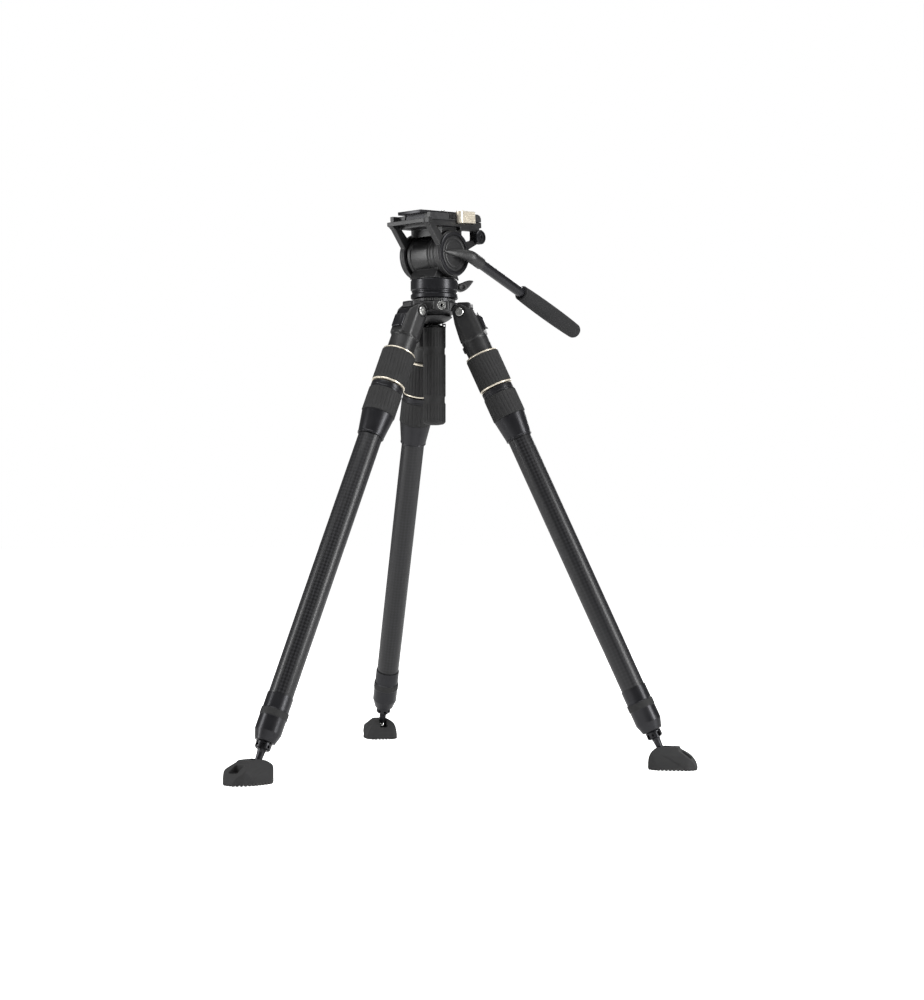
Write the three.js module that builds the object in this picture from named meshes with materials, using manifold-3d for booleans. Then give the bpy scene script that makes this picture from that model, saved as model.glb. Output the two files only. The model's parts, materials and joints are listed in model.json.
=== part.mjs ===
// A video tripod: three inverted telescopic legs on a spider with a levelling bowl, and a fluid
// head with a sliding camera plate and a pan bar. Millimetres, +Z up. Leg A points to -Y.
import * as THREE from 'three';
import { mergeVertices } from 'three/addons/utils/BufferGeometryUtils.js';
import Module from 'manifold-3d';

const wasm = await Module();
wasm.setup();

// ---------------------------------------------------------------- driving dimensions
const GAP = 0.3; // clearance between pieces that touch
const LEG_NAMES = ['a', 'b', 'c'];
const FIRST_LEG_TURN = 180; // degrees about Z that bring leg A's outward +Y round to -Y
const LEG_LEAN = 24.86; // degrees between a spread leg and the vertical
const REST_PAN = 4.5; // degrees that the head is panned from leg A's plane
const REST_TILT = 4; // degrees that the camera platform is nosed down
const LEG_SIDES = 18; // sides of the round leg pieces
const HEAD_SIDES = 24; // sides of the round head pieces
const SMALL_SIDES = 12; // sides of pins, screws and bores

// Leg stations: distances from the hinge pin down the leg's axis
const SLOT_DEPTH = 16;
const CASTING_END = 50;
const SHOULDER_END = 78.7;
const UPPER_LOCK_LENGTH = 61.7;
const LOCK_SPACE = 2;
const LOWER_COLLAR = 11;
const LOWER_GRIP = 42;
const LOWER_CONE = 40;
const TUBE_RUN = 459; // bare length of the lower tube between its lock and the foot cup
const CUP_SLEEVE = 24;
const CUP_BAND = 13;
const CUP_BODY = 25;
const CUP_NOSE = 15;
const STEM_COLLAR = 12.5;
const STEM_REACH = 27.5; // from the stem's collar to the ball's centre

// Leg sections
const TUBE_WALL = 1.5;
const LOWER_TUBE_R = 20;
const TUBE_FIT = 0.5; // clearance between one tube and the next inside it
const MIDDLE_TUBE_R = LOWER_TUBE_R - TUBE_WALL - TUBE_FIT;
const UPPER_TUBE_R = MIDDLE_TUBE_R - TUBE_WALL - TUBE_FIT;
const SHOULDER_R = 22.5;
const LOCK_R = 28.75;
const LOCK_CORE_R = 26.5;
const LOCK_RIM = 3;
const LOCK_LIP = 10; // depth of the inward lip at a lock's mouth
const COLLAR_R = 27.5;
const CONE_END_R = 21.75;
const CUP_R = 22.3;
const STEM_COLLAR_R = 13;
const STEM_R = 6;
const BALL_R = 8;

// Hinge between the spider and a leg
const PIN_RING_R = 49.4; // radius of the circle on which the hinge pins lie
const PIN_R = 4;
const PIN_HEAD_R = 7;
const PIN_HEAD = 2;
const PIN_RECESS_R = 10.3;
const PIN_RECESS_DEPTH = 3.5;
const CHEEK_R = 13;
const LUG_HALF = 12.5;
const STOP_HALF = 11;
const STOP_INNER = 12;
const STOP_STEP = 21; // where the stop's outer part steps down
const STOP_DROP = 11;
const STOP_OUTER = 30;
const STOP_HEIGHT = 34;
const WING_UNDERSIDE = 5;
const WING_THICK = 13.5;
const WING_REACH = 16;

// Foot pad, about the centre of its ball
const PAD_DEPTH = 26;
const PAD_TOP = 12;
const PAD_INBOARD = 23;
const PAD_OUTBOARD = 57;
const PAD_HALF_WIDTH = 29;
const PAD_SLOT_HALF = 7;

// Levelling bowl and handle, about the centre of the half ball
const BOWL_OVER_PIN = 24; // height of the half ball's centre over the hinge pins
const BALL_SEAT_R = 35.5;
const BOWL_WALL = 2.8;
const CUP_WALL = 3.1;
const CLAMP_RIM_R = 29.5;
const BOWL_MOUTH_R = 24;
const BOWL_TOP = -7;
const BOWL_UNDERSIDE = -24;
const SPIDER_R = 44;
const PORT_R = 7.3;
const PORT_BORE_R = 2.9;
const PORT_HALF = 15;
const PORT_REACH = 49;
const PORT_HEIGHT = -14.4;
const STUD_R = 5;
const GRIP_R = 19.3;
const GRIP_WAIST_R = 18;
const GRIP_TOP = -48;
const GRIP_LENGTH = 166;
const NECK_R = 13;

// Pan base
const FLANGE_R = 40.25;
const FLANGE_HEIGHT = 9;
const GROOVE_R = 38;
const GROOVE_HEIGHT = 2.7;
const DRUM_R = 40.5;
const DRUM_HEIGHT = 21;
const SPINDLE_R = 12;
const SPINDLE_HEIGHT = 12;
const PAN_LEVER_TURN = -32; // degrees about Z from the head's +Y
const PAN_LEVER_HUB_R = 7.5;
const PAN_LEVER_HALF = 4;

// Tilt unit and cradle, about the tilt axis
const TILT_DISC_R = 39.3;
const DISC_OVER_DRUM = 2.7;
const TILT_OVER_DRUM = TILT_DISC_R + DISC_OVER_DRUM; // height of the tilt axis over the pan drum
const HOUSING_R = 34;
const HOUSING_HALF = 33.5;
const SADDLE_HALF = 29;
const TRUNNION_R = 10;
const CHEEK_THICK = 10;
const CAP_THICK = 3;
const RAIL_BOTTOM = 46;
const RAIL_DEEPER = 6; // how much deeper the rail is over the rear half of the cheek
const RAIL_TOP = 55.5;
const CRADLE_FRONT = -66;
const CRADLE_REAR = 77;
const CRADLE_HALF = 46;
const ARM_WIDTH = 6;
const FRONT_BAR = 7; // height and depth of the bar across the front
const BEAM_FRONT = -18;
const BEAM_REAR = 34;
const KNOB_PLACE = [64.5, 29.5];
const KNOB_R = 12.25;
const KNOB_THICK = 9;

// Camera plate and its receiver
const RECEIVER_FRONT = -58;
const RECEIVER_HALF = 45;
const RECEIVER_FLOOR = 2.7;
const CHIN_HALF = 38; // the set-back part of the receiver's front face
const CHIN_DEPTH = 12;
const DOVETAIL_HEIGHT = 8.7;
const DOVETAIL_TOP_HALF = 20;
const DOVETAIL_FOOT_HALF = 24;
const PLATE_HALF = 25;
const PLATE_THICK = 5.5;
const PLATE_FRONT = -61;
const PLATE_LENGTH = 105;
const KEY_FRONT = -44;
const STOP_BLOCK_FRONT = 57.5;
const STOP_BLOCK_RISE = 1.6; // how far the rear block stands over the receiver
const CAMERA_SCREW_Y = 28;
const CAMERA_SCREW_R = 3.1;
const SCREW_HEAD_R = 8;
const SCREW_STAND = 5.5; // how far the camera screw stands out of the plate
const LEVER_BARREL_R = 6.5;
const LEVER_PLACE = [47.8, 16]; // across and along the receiver
const LEVER_END = 56.5;
const LEVER_BOTTOM = 51.5;
const LEVER_TOP = 72.5;
const LEVER_THICK = 8;
const LEVER_ROOM = 1; // room past the lever's tip, which swings out in an arc

// Pan bar
const PAN_DISC_R = 30;
const BAR_OFFSET = 60; // from the head's middle plane to the bar's axis
const BAR_DROP = 23.6; // degrees between the platform and the bar
const BAR_RISE = 4.6; // from the tilt axis up to the bar's line, square to the bar
const BAR_R = 8.8;
const BAR_START = 36;
const BAR_SOCKET_END = 54;
const BAR_SOCKET_R = 10.5;
const BAR_GRIP_START = 171;
const BAR_GRIP_END = 341;
const BAR_GRIP_R = 15;
const BAR_GRIP_END_R = 13.5;

// ---------------------------------------------------------------- worked-out places
const radians = THREE.MathUtils.degToRad;
const UPPER_LOCK_START = SHOULDER_END + GAP;
const UPPER_LOCK_END = UPPER_LOCK_START + UPPER_LOCK_LENGTH;
const LOWER_LOCK_START = UPPER_LOCK_END + LOCK_SPACE;
const LOWER_GRIP_START = LOWER_LOCK_START + LOWER_COLLAR;
const LOWER_GRIP_END = LOWER_GRIP_START + LOWER_GRIP;
const LOWER_LOCK_END = LOWER_GRIP_END + LOWER_CONE;
const FOOT_CUP_START = LOWER_LOCK_END + TUBE_RUN;
const FOOT_CUP_END = FOOT_CUP_START + CUP_SLEEVE + CUP_BAND + CUP_BODY + CUP_NOSE;
const BALL_STATION = FOOT_CUP_END + GAP + STEM_COLLAR + STEM_REACH;
const LEAN = radians(LEG_LEAN);
const PIN_HEIGHT = PAD_DEPTH + BALL_STATION * Math.cos(LEAN);
const BOWL_HEIGHT = PIN_HEIGHT + BOWL_OVER_PIN;
const SEAT_R = (BALL_SEAT_R + GAP) / Math.cos(Math.PI / HEAD_SIDES) / Math.cos(radians(5));
const CLAMP_R = (SEAT_R + BOWL_WALL + GAP) / Math.cos(Math.PI / HEAD_SIDES) / Math.cos(radians(5));
const DRUM_BOTTOM = GAP + FLANGE_HEIGHT + GROOVE_HEIGHT + GAP;
const DRUM_TOP = DRUM_BOTTOM + DRUM_HEIGHT;
const TILT_HEIGHT = DRUM_TOP + TILT_OVER_DRUM;
const CHEEK_INNER = HOUSING_HALF + GAP;
const CHEEK_OUTER = CHEEK_INNER + CHEEK_THICK;
const CAP_BORE_R = bore(PAN_DISC_R, HEAD_SIDES);
const RECEIVER_BOTTOM = RAIL_TOP + GAP;
const CHANNEL_FLOOR = RECEIVER_BOTTOM + RECEIVER_FLOOR;
const DOVETAIL_BOTTOM = CHANNEL_FLOOR + GAP;
const PLATE_BOTTOM = DOVETAIL_BOTTOM + DOVETAIL_HEIGHT;
const RECEIVER_TOP = PLATE_BOTTOM - GAP;
const PLATE_TOP = PLATE_BOTTOM + PLATE_THICK;

// ---------------------------------------------------------------- shape helpers

// Joins equal corners, drops empty triangles and turns the faces outwards.
function weld(source) {
  const bare = source.clone();
  bare.deleteAttribute('normal');
  bare.deleteAttribute('uv');
  const welded = mergeVertices(bare, 1e-4);
  const point = welded.attributes.position;
  const corners = [new THREE.Vector3(), new THREE.Vector3(), new THREE.Vector3()];
  const faces = [];
  let volume = 0;
  for (let i = 0; i < welded.index.count; i += 3) {
    const face = [0, 1, 2].map((step) => welded.index.getX(i + step));
    if (new Set(face).size < 3) continue;
    corners.forEach((corner, step) => corner.fromBufferAttribute(point, face[step]));
    volume += corners[0].dot(corners[1].clone().cross(corners[2]));
    faces.push(face);
  }
  if (volume < 0) faces.forEach((face) => face.reverse());
  welded.setIndex(faces.flat());
  return welded;
}

function toSolid(source) {
  const closed = weld(source);
  return new wasm.Manifold(new wasm.Mesh({
    numProp: 3,
    vertProperties: new Float32Array(closed.attributes.position.array),
    triVerts: new Uint32Array(closed.index.array),
  }));
}

// One base geometry with others joined to it and then others cut from it.
function combine(base, joined, cuts) {
  let solid = toSolid(base);
  for (const piece of joined) solid = solid.add(toSolid(piece));
  for (const piece of cuts) solid = solid.subtract(toSolid(piece));
  return fromSolid(solid);
}

function common(first, second) {
  return fromSolid(toSolid(first).intersect(toSolid(second)));
}

function fromSolid(solid) {
  const mesh = solid.getMesh();
  const geometry = new THREE.BufferGeometry();
  geometry.setAttribute('position', new THREE.BufferAttribute(mesh.vertProperties, 3));
  geometry.setIndex(new THREE.BufferAttribute(mesh.triVerts, 1));
  return geometry;
}

// Turned about Z from a profile of [radius, height] points.
function lathe(profile, sides) {
  const points = profile.map(([radius, height]) => new THREE.Vector2(radius, height));
  return weld(new THREE.LatheGeometry(points, sides).rotateX(Math.PI / 2));
}

function ring(outer, inner, bottom, top, sides) {
  const corner = [inner, bottom];
  return lathe([corner, [outer, bottom], [outer, top], [inner, top], corner], sides);
}

function rod(radius, bottom, top, sides) {
  return lathe([[0, bottom], [radius, bottom], [radius, top], [0, top]], sides);
}

// The corner radius of a faceted hole whose flats keep a gap to a round piece that may turn in it.
function bore(radius, sides) {
  return (radius + GAP) / Math.cos(Math.PI / sides);
}

// A rod along X, centred on [y, z].
function crossRod(radius, left, right, [y, z], sides) {
  return rod(radius, left, right, sides).rotateY(Math.PI / 2).translate(0, y, z);
}

function block(left, right, back, front, bottom, top) {
  return new THREE.BoxGeometry(right - left, front - back, top - bottom)
    .translate((left + right) / 2, (back + front) / 2, (bottom + top) / 2);
}

// An outline in the YZ plane, given a thickness along X.
function sideSlab(outline, left, right) {
  const geometry = new THREE.ExtrudeGeometry(outline, { depth: right - left, bevelEnabled: false, curveSegments: 6 });
  const turn = new THREE.Matrix4().makeBasis(
    new THREE.Vector3(0, 1, 0), new THREE.Vector3(0, 0, 1), new THREE.Vector3(1, 0, 0));
  return weld(geometry.applyMatrix4(turn).translate(left, 0, 0));
}

// An outline in the XZ plane, given a length along Y.
function endSlab(outline, back, front) {
  const geometry = new THREE.ExtrudeGeometry(outline, { depth: front - back, bevelEnabled: false });
  return weld(geometry.rotateX(Math.PI / 2).translate(0, front, 0));
}

// An outline in the XY plane, given a height along Z.
function upright(outline, bottom, top) {
  const geometry = new THREE.ExtrudeGeometry(outline, { depth: top - bottom, bevelEnabled: false });
  return weld(geometry.translate(0, 0, bottom));
}

function polygon(points) {
  return new THREE.Shape(points.map(([u, v]) => new THREE.Vector2(u, v)));
}

// Profile points of an arc in the plane of a lathe, from one angle to another in degrees.
function arc(centreHeight, radius, from, to, steps) {
  return Array.from({ length: steps + 1 }, (_, step) => {
    const angle = radians(from + (to - from) * step / steps);
    return [Math.max(0, radius * Math.cos(angle)), centreHeight + radius * Math.sin(angle)];
  });
}

// ---------------------------------------------------------------- materials and naming
const finish = (colour, roughness, metalness) => new THREE.MeshStandardMaterial({ color: colour, roughness, metalness });
const castAluminium = finish('#2b2b2d', 0.45, 0.6);
const machinedAluminium = finish('#333335', 0.35, 0.7);
const ribbedRubber = finish('#252526', 0.85, 0);
const solidRubber = finish('#2d2d2e', 0.9, 0);
const carbonTube = finish('#1c1c1e', 0.3, 0.2);
const champagne = finish('#e0d8c0', 0.3, 0.9);
const steel = finish('#c8c8c8', 0.25, 1);
const foam = finish('#303032', 0.95, 0);

function node(name, geometry, material) {
  const mesh = new THREE.Mesh(geometry, material);
  mesh.name = name;
  return mesh;
}

// ---------------------------------------------------------------- leg pieces
// In a leg's frame the pin is the origin, +X is along the pin, +Y outboard and +Z up the leg.

// The wing's underside as a spread leg sees it: height at a distance outboard.
function wingLine(outboard) {
  return (WING_UNDERSIDE - outboard * Math.sin(LEAN)) / Math.cos(LEAN);
}

// The angle stop's pocket: top and bottom run along the wing's underside.
function stopPocketOutline() {
  const inner = STOP_INNER - GAP;
  const outer = 2 * STOP_OUTER;
  const depth = STOP_HEIGHT + 2 * GAP;
  return polygon([[inner, wingLine(inner)], [inner, wingLine(inner) - depth],
    [outer, wingLine(outer) - depth], [outer, wingLine(outer)]]);
}

function shoulder() {
  const side = new THREE.Shape();
  side.moveTo(-SHOULDER_R, -CASTING_END);
  side.lineTo(-17, -14);
  side.absarc(0, 0, CHEEK_R, Math.PI, radians(35), true);
  side.lineTo(21, -6);
  side.lineTo(SHOULDER_R + 1, -18);
  side.lineTo(SHOULDER_R + 1, -38);
  side.lineTo(SHOULDER_R, -CASTING_END);
  const plan = polygon([[-SHOULDER_R, -10], [-14, -SHOULDER_R], [14, -SHOULDER_R], [SHOULDER_R, -10],
    [SHOULDER_R, 11], [14, SHOULDER_R + 1], [-14, SHOULDER_R + 1], [-SHOULDER_R, 11]]);
  const body = common(sideSlab(side, -SHOULDER_R, SHOULDER_R), upright(plan, -CASTING_END, CHEEK_R));
  const socket = rod(SHOULDER_R, -SHOULDER_END, GAP - CASTING_END, LEG_SIDES);
  const fork = block(-LUG_HALF - GAP, LUG_HALF + GAP, -40, 40, -SLOT_DEPTH, 40);
  const stopPocket = sideSlab(stopPocketOutline(), -STOP_HALF - GAP, STOP_HALF + GAP);
  const tubeBore = rod(bore(UPPER_TUBE_R, LEG_SIDES), -SHOULDER_END - 1, -CASTING_END - 8, LEG_SIDES);
  const pinBore = crossRod(bore(PIN_R, SMALL_SIDES), -30, 30, [0, 0], SMALL_SIDES);
  const floor = SHOULDER_R - PIN_RECESS_DEPTH;
  const recesses = [floor, -floor - 10].map((left) => crossRod(PIN_RECESS_R, left, left + 10, [0, 0], SMALL_SIDES));
  return combine(body, [socket], [fork, stopPocket, tubeBore, pinBore, ...recesses]);
}

function hingePin() {
  const seat = SHOULDER_R - PIN_RECESS_DEPTH + GAP;
  const end = seat + PIN_HEAD;
  const profile = [[0, -end], [PIN_HEAD_R, -end], [PIN_HEAD_R, -seat], [PIN_R, -seat],
    [PIN_R, seat], [PIN_HEAD_R, seat], [PIN_HEAD_R, end], [0, end]];
  return lathe(profile, SMALL_SIDES).rotateY(Math.PI / 2);
}

// The angle stop bears on the wing with its inner part; its finger tab is stepped down outside it.
function angleStop() {
  const at = (outboard, drop) => [outboard, wingLine(outboard) - GAP - drop];
  return sideSlab(polygon([at(STOP_INNER, 0), at(STOP_INNER, STOP_HEIGHT), at(STOP_OUTER, STOP_HEIGHT),
    at(STOP_OUTER, STOP_DROP + 2), at(STOP_OUTER - 2, STOP_DROP), at(STOP_STEP, STOP_DROP), at(STOP_STEP, 0)]),
  -STOP_HALF, STOP_HALF);
}

function legTube(outer, from, to) {
  return ring(outer, outer - TUBE_WALL, -to, -from, LEG_SIDES);
}

// A twist collar with a bright rim at each end and a waist that the rubber sits on.
function upperLock() {
  const top = -UPPER_LOCK_START;
  const bottom = -UPPER_LOCK_END;
  const lip = bore(UPPER_TUBE_R, LEG_SIDES);
  const sleeve = bore(MIDDLE_TUBE_R, LEG_SIDES);
  return lathe([[lip, top], [lip, top - LOCK_LIP], [sleeve, top - LOCK_LIP],
    [sleeve, bottom], [LOCK_R, bottom], [LOCK_R, bottom + LOCK_RIM], [LOCK_CORE_R, bottom + LOCK_RIM],
    [LOCK_CORE_R, top - LOCK_RIM], [LOCK_R - 1, top - LOCK_RIM], [LOCK_R - 1, top], [lip, top]], LEG_SIDES);
}

function upperLockGrip() {
  return ring(LOCK_R, LOCK_CORE_R + GAP, GAP + LOCK_RIM - UPPER_LOCK_END, -UPPER_LOCK_START - LOCK_RIM - GAP, LEG_SIDES);
}

function lowerLock() {
  const top = -LOWER_LOCK_START;
  const bottom = -LOWER_LOCK_END;
  const lip = bore(MIDDLE_TUBE_R, LEG_SIDES);
  const sleeve = bore(LOWER_TUBE_R, LEG_SIDES);
  return lathe([[lip, top], [lip, top - LOCK_LIP], [sleeve, top - LOCK_LIP],
    [sleeve, bottom], [CONE_END_R, bottom], [COLLAR_R, -LOWER_GRIP_END],
    [LOCK_CORE_R - 1, -LOWER_GRIP_END], [LOCK_CORE_R - 1, -LOWER_GRIP_START],
    [COLLAR_R, -LOWER_GRIP_START], [COLLAR_R, top], [lip, top]], LEG_SIDES);
}

function lowerLockGrip() {
  return ring(LOCK_R - 0.3, LOCK_CORE_R - 1 + GAP, GAP - LOWER_GRIP_END, -LOWER_GRIP_START - GAP, LEG_SIDES);
}

function footCup() {
  const tubeFloor = -FOOT_CUP_START - CUP_SLEEVE + 6;
  const band = -FOOT_CUP_START - CUP_SLEEVE;
  const body = band - CUP_BAND;
  const nose = body - CUP_BODY;
  const end = -FOOT_CUP_END;
  return lathe([[0, tubeFloor], [LOWER_TUBE_R + GAP, tubeFloor], [LOWER_TUBE_R + GAP, -FOOT_CUP_START],
    [CUP_R - 1, -FOOT_CUP_START], [CUP_R - 1, band], [CUP_R, band], [CUP_R, body], [CUP_R - 0.4, body],
    [CUP_R - 0.4, nose], [CUP_R - 5.8, end], [STEM_R + GAP, end], [STEM_R + GAP, end + 20], [0, end + 20]], LEG_SIDES);
}

function footStem() {
  const top = -FOOT_CUP_END + 20 - GAP;
  const collar = -FOOT_CUP_END - GAP;
  const shank = collar - STEM_COLLAR;
  const neck = STEM_R - 0.5;
  const neckAngle = 180 / Math.PI * Math.acos(neck / BALL_R);
  return lathe([[0, top], [STEM_R, top], [STEM_R, collar], [STEM_COLLAR_R, collar], [STEM_COLLAR_R, shank + 3],
    [STEM_COLLAR_R - 3, shank], [BALL_R, shank], ...arc(-BALL_STATION, BALL_R, neckAngle, -90, 6)], SMALL_SIDES);
}

// The rubber shoe stands on the ground and holds the ball; the stem leaves through a slot.
function footPad() {
  const side = new THREE.Shape();
  side.moveTo(-PAD_INBOARD, -PAD_DEPTH);
  side.lineTo(PAD_OUTBOARD, -PAD_DEPTH);
  side.lineTo(PAD_OUTBOARD - 4, 13 - PAD_DEPTH);
  side.quadraticCurveTo(PAD_OUTBOARD - 13, PAD_TOP - 8, PAD_OUTBOARD - 30, PAD_TOP);
  side.lineTo(0, PAD_TOP);
  side.quadraticCurveTo(-PAD_INBOARD + 4, PAD_TOP - 8, -PAD_INBOARD, -PAD_DEPTH);
  const half = PAD_HALF_WIDTH;
  const end = polygon([[-half, -PAD_DEPTH], [half, -PAD_DEPTH], [half - 1, 5 - PAD_DEPTH], [half - 6, 24 - PAD_DEPTH],
    [11, PAD_TOP], [-11, PAD_TOP], [6 - half, 24 - PAD_DEPTH], [1 - half, 5 - PAD_DEPTH]]);
  const plan = polygon([[-17, -PAD_INBOARD], [17, -PAD_INBOARD], [half, -6], [half, PAD_OUTBOARD - 28],
    [half - 6, PAD_OUTBOARD - 11], [12, PAD_OUTBOARD], [-12, PAD_OUTBOARD], [6 - half, PAD_OUTBOARD - 11],
    [-half, PAD_OUTBOARD - 28], [-half, -6]]);
  const profile = common(sideSlab(side, -half, half), endSlab(end, -PAD_INBOARD, PAD_OUTBOARD));
  const shoe = common(profile, upright(plan, -PAD_DEPTH, PAD_TOP));
  const steps = 8;
  const socketR = bore(BALL_R, SMALL_SIDES) / Math.cos(Math.PI / steps / 2);
  const socket = lathe(arc(0, socketR, -90, 90, steps), SMALL_SIDES);
  const slot = sideSlab(polygon([[BALL_R / 2, 0], [34, 40], [-60, 40], [-60, 0], [-BALL_R / 2, -BALL_R / 2]]),
    -PAD_SLOT_HALF, PAD_SLOT_HALF);
  const recess = block(-10, 10, PAD_OUTBOARD - 26, PAD_OUTBOARD - 10, 17 - PAD_DEPTH, 60);
  return combine(shoe, [], [socket, slot, recess]);
}

function leg(letter, index) {
  const named = (name, geometry, material) => node(`leg_${letter}_${name}`, geometry, material);
  const placed = new THREE.Group();
  placed.rotation.z = radians(FIRST_LEG_TURN + index * 360 / LEG_NAMES.length);
  const swing = new THREE.Group();
  swing.position.set(0, PIN_RING_R, PIN_HEIGHT);
  swing.rotation.x = LEAN;
  placed.add(swing);
  const tubeEnd = FOOT_CUP_START + CUP_SLEEVE - 6 - GAP;
  swing.add(
    named('shoulder', shoulder(), castAluminium),
    named('hinge_pin', hingePin(), steel),
    named('angle_stop', angleStop(), machinedAluminium),
    named('upper_tube', legTube(UPPER_TUBE_R, CASTING_END + 8 + GAP, tubeEnd - 40), carbonTube),
    named('upper_lock', upperLock(), champagne),
    named('upper_lock_grip', upperLockGrip(), ribbedRubber),
    named('middle_tube', legTube(MIDDLE_TUBE_R, UPPER_LOCK_START + LOCK_LIP + GAP, tubeEnd - 20), carbonTube),
    named('lower_lock', lowerLock(), machinedAluminium),
    named('lower_lock_grip', lowerLockGrip(), ribbedRubber),
    named('lower_tube', legTube(LOWER_TUBE_R, LOWER_LOCK_START + LOCK_LIP + GAP, tubeEnd), carbonTube),
    named('foot_cup', footCup(), castAluminium),
    named('foot_stem', footStem(), machinedAluminium),
  );
  const foot = new THREE.Group();
  foot.position.z = -BALL_STATION;
  foot.rotation.x = -LEAN;
  foot.add(named('foot_pad', footPad(), solidRubber));
  swing.add(foot);
  return placed;
}

// ---------------------------------------------------------------- spider and levelling bowl
// Heights from here to the pan base are over the centre of the half ball.

// Radius of a sphere about the half ball's centre at a height.
function sphereRadius(radius, height) {
  return Math.sqrt(radius * radius - height * height);
}

function elevation(radius, reach) {
  return -180 / Math.PI * Math.acos(reach / radius);
}

function spider() {
  const seat = SEAT_R;
  const shell = seat + BOWL_WALL;
  const seatMouth = elevation(seat, BOWL_MOUTH_R);
  const seatTop = elevation(seat, sphereRadius(seat, BOWL_TOP));
  const shellMouth = elevation(shell, BOWL_MOUTH_R);
  const shellTop = elevation(shell, sphereRadius(shell, BOWL_UNDERSIDE));
  const clampSpace = CLAMP_R + CUP_WALL + GAP;
  const start = arc(0, seat, seatTop, seatMouth, 4);
  const bowl = lathe([...start, ...arc(0, shell, shellMouth, shellTop, 3),
    [sphereRadius(clampSpace, BOWL_UNDERSIDE + 1) + 1, BOWL_UNDERSIDE + 1], [SPIDER_R - 1, BOWL_UNDERSIDE + 1],
    [SPIDER_R, BOWL_UNDERSIDE + 2], [SPIDER_R, BOWL_TOP - 1.5], [SPIDER_R - 1.5, BOWL_TOP], start[0]], HEAD_SIDES);
  const joined = [];
  const cuts = [];
  for (let index = 0; index < LEG_NAMES.length; index += 1) {
    const turn = radians(FIRST_LEG_TURN + index * 360 / LEG_NAMES.length);
    const half = Math.PI / LEG_NAMES.length;
    const outward = (geometry) => geometry.translate(0, PIN_RING_R, -BOWL_OVER_PIN).rotateZ(turn);
    joined.push(outward(lug()));
    joined.push(block(-PORT_HALF, PORT_HALF, SPIDER_R - 6, PORT_REACH, BOWL_UNDERSIDE + 2, BOWL_TOP).rotateZ(turn + half));
    const pocketR = CHEEK_R + GAP + 0.5;
    for (const side of [LUG_HALF + 16, -LUG_HALF]) {
      cuts.push(outward(crossRod(pocketR, side - 16, side, [0, 0], HEAD_SIDES)));
    }
    cuts.push(outward(crossRod(bore(PIN_R, SMALL_SIDES), -30, 30, [0, 0], SMALL_SIDES)));
  }
  cuts.push(portRod(bore(PORT_R, SMALL_SIDES), PORT_REACH - 3, 70), portRod(PORT_BORE_R, PORT_REACH - 10, 70));
  return combine(bowl, joined, cuts);
}

// The lug between a leg's cheeks, with the wing that the leg's angle stop meets.
function lug() {
  const outline = new THREE.Shape();
  outline.moveTo(-11, WING_UNDERSIDE + WING_THICK - 4);
  outline.lineTo(-11, 1);
  outline.lineTo(-9, -1);
  outline.absarc(0, 0, 9, Math.PI, radians(30), false);
  outline.lineTo(10, WING_UNDERSIDE);
  outline.lineTo(WING_REACH, WING_UNDERSIDE);
  outline.lineTo(WING_REACH + 1.5, WING_UNDERSIDE + 3);
  outline.lineTo(WING_REACH, WING_UNDERSIDE + WING_THICK - 1.5);
  outline.lineTo(WING_REACH - 2, WING_UNDERSIDE + WING_THICK);
  outline.lineTo(-4, WING_UNDERSIDE + WING_THICK);
  const plan = polygon([[-LUG_HALF, -14], [LUG_HALF, -14], [LUG_HALF, WING_REACH - 3], [LUG_HALF - 5, WING_REACH + 2],
    [5 - LUG_HALF, WING_REACH + 2], [-LUG_HALF, WING_REACH - 3]]);
  return common(sideSlab(outline, -LUG_HALF, LUG_HALF), upright(plan, -CHEEK_R, 2 * CHEEK_R));
}

// A rod along the accessory port's axis, midway between legs A and B.
function portRod(radius, from, to) {
  return rod(radius, from, to, SMALL_SIDES).rotateX(-Math.PI / 2).translate(0, 0, PORT_HEIGHT)
    .rotateZ(radians(FIRST_LEG_TURN + 180 / LEG_NAMES.length));
}

function portBush() {
  const bush = ring(PORT_R, PORT_BORE_R, PORT_REACH - 3 + GAP, PORT_REACH + 0.6, SMALL_SIDES);
  return bush.rotateX(-Math.PI / 2).translate(0, 0, PORT_HEIGHT).rotateZ(radians(FIRST_LEG_TURN + 180 / LEG_NAMES.length));
}

function halfBall() {
  const foot = elevation(BALL_SEAT_R, BOWL_MOUTH_R - 3);
  const surface = arc(0, BALL_SEAT_R, 0, foot, 6);
  const bottom = surface[surface.length - 1][1];
  const studBore = bore(STUD_R, HEAD_SIDES);
  return lathe([[0, 0], ...surface, [studBore, bottom], [studBore, -12], [0, -12]], HEAD_SIDES);
}

function levellingStud() {
  return rod(STUD_R, GRIP_TOP - 36, -12 - GAP, SMALL_SIDES);
}

// The cup that clamps the bowl from below.
function levelCup() {
  const inner = CLAMP_R;
  const outer = inner + CUP_WALL;
  const studBore = bore(STUD_R, HEAD_SIDES);
  const rim = elevation(outer, CLAMP_RIM_R);
  const start = arc(0, inner, rim, elevation(inner, studBore), 5);
  return lathe([...start, ...arc(0, outer, elevation(outer, studBore), rim, 5), start[0]], HEAD_SIDES);
}

function levellingGrip() {
  const neckTop = -(CLAMP_R + CUP_WALL + GAP);
  const end = GRIP_TOP - GRIP_LENGTH;
  const studBore = bore(STUD_R, LEG_SIDES);
  const waist = (from) => [[GRIP_R, from], [GRIP_WAIST_R, from - 3], [GRIP_WAIST_R, from - 11], [GRIP_R, from - 14]];
  return lathe([[0, GRIP_TOP - 36 - GAP], [studBore, GRIP_TOP - 36 - GAP], [studBore, neckTop], [NECK_R, neckTop], [NECK_R, GRIP_TOP],
    [GRIP_R - 1, GRIP_TOP], [GRIP_R, GRIP_TOP - 1], ...waist(GRIP_TOP - 33), ...waist(GRIP_TOP - 116),
    [GRIP_R, end + 6], [GRIP_R - 4, end + 1.5], [0, end]], LEG_SIDES);
}

// ---------------------------------------------------------------- pan base

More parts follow.
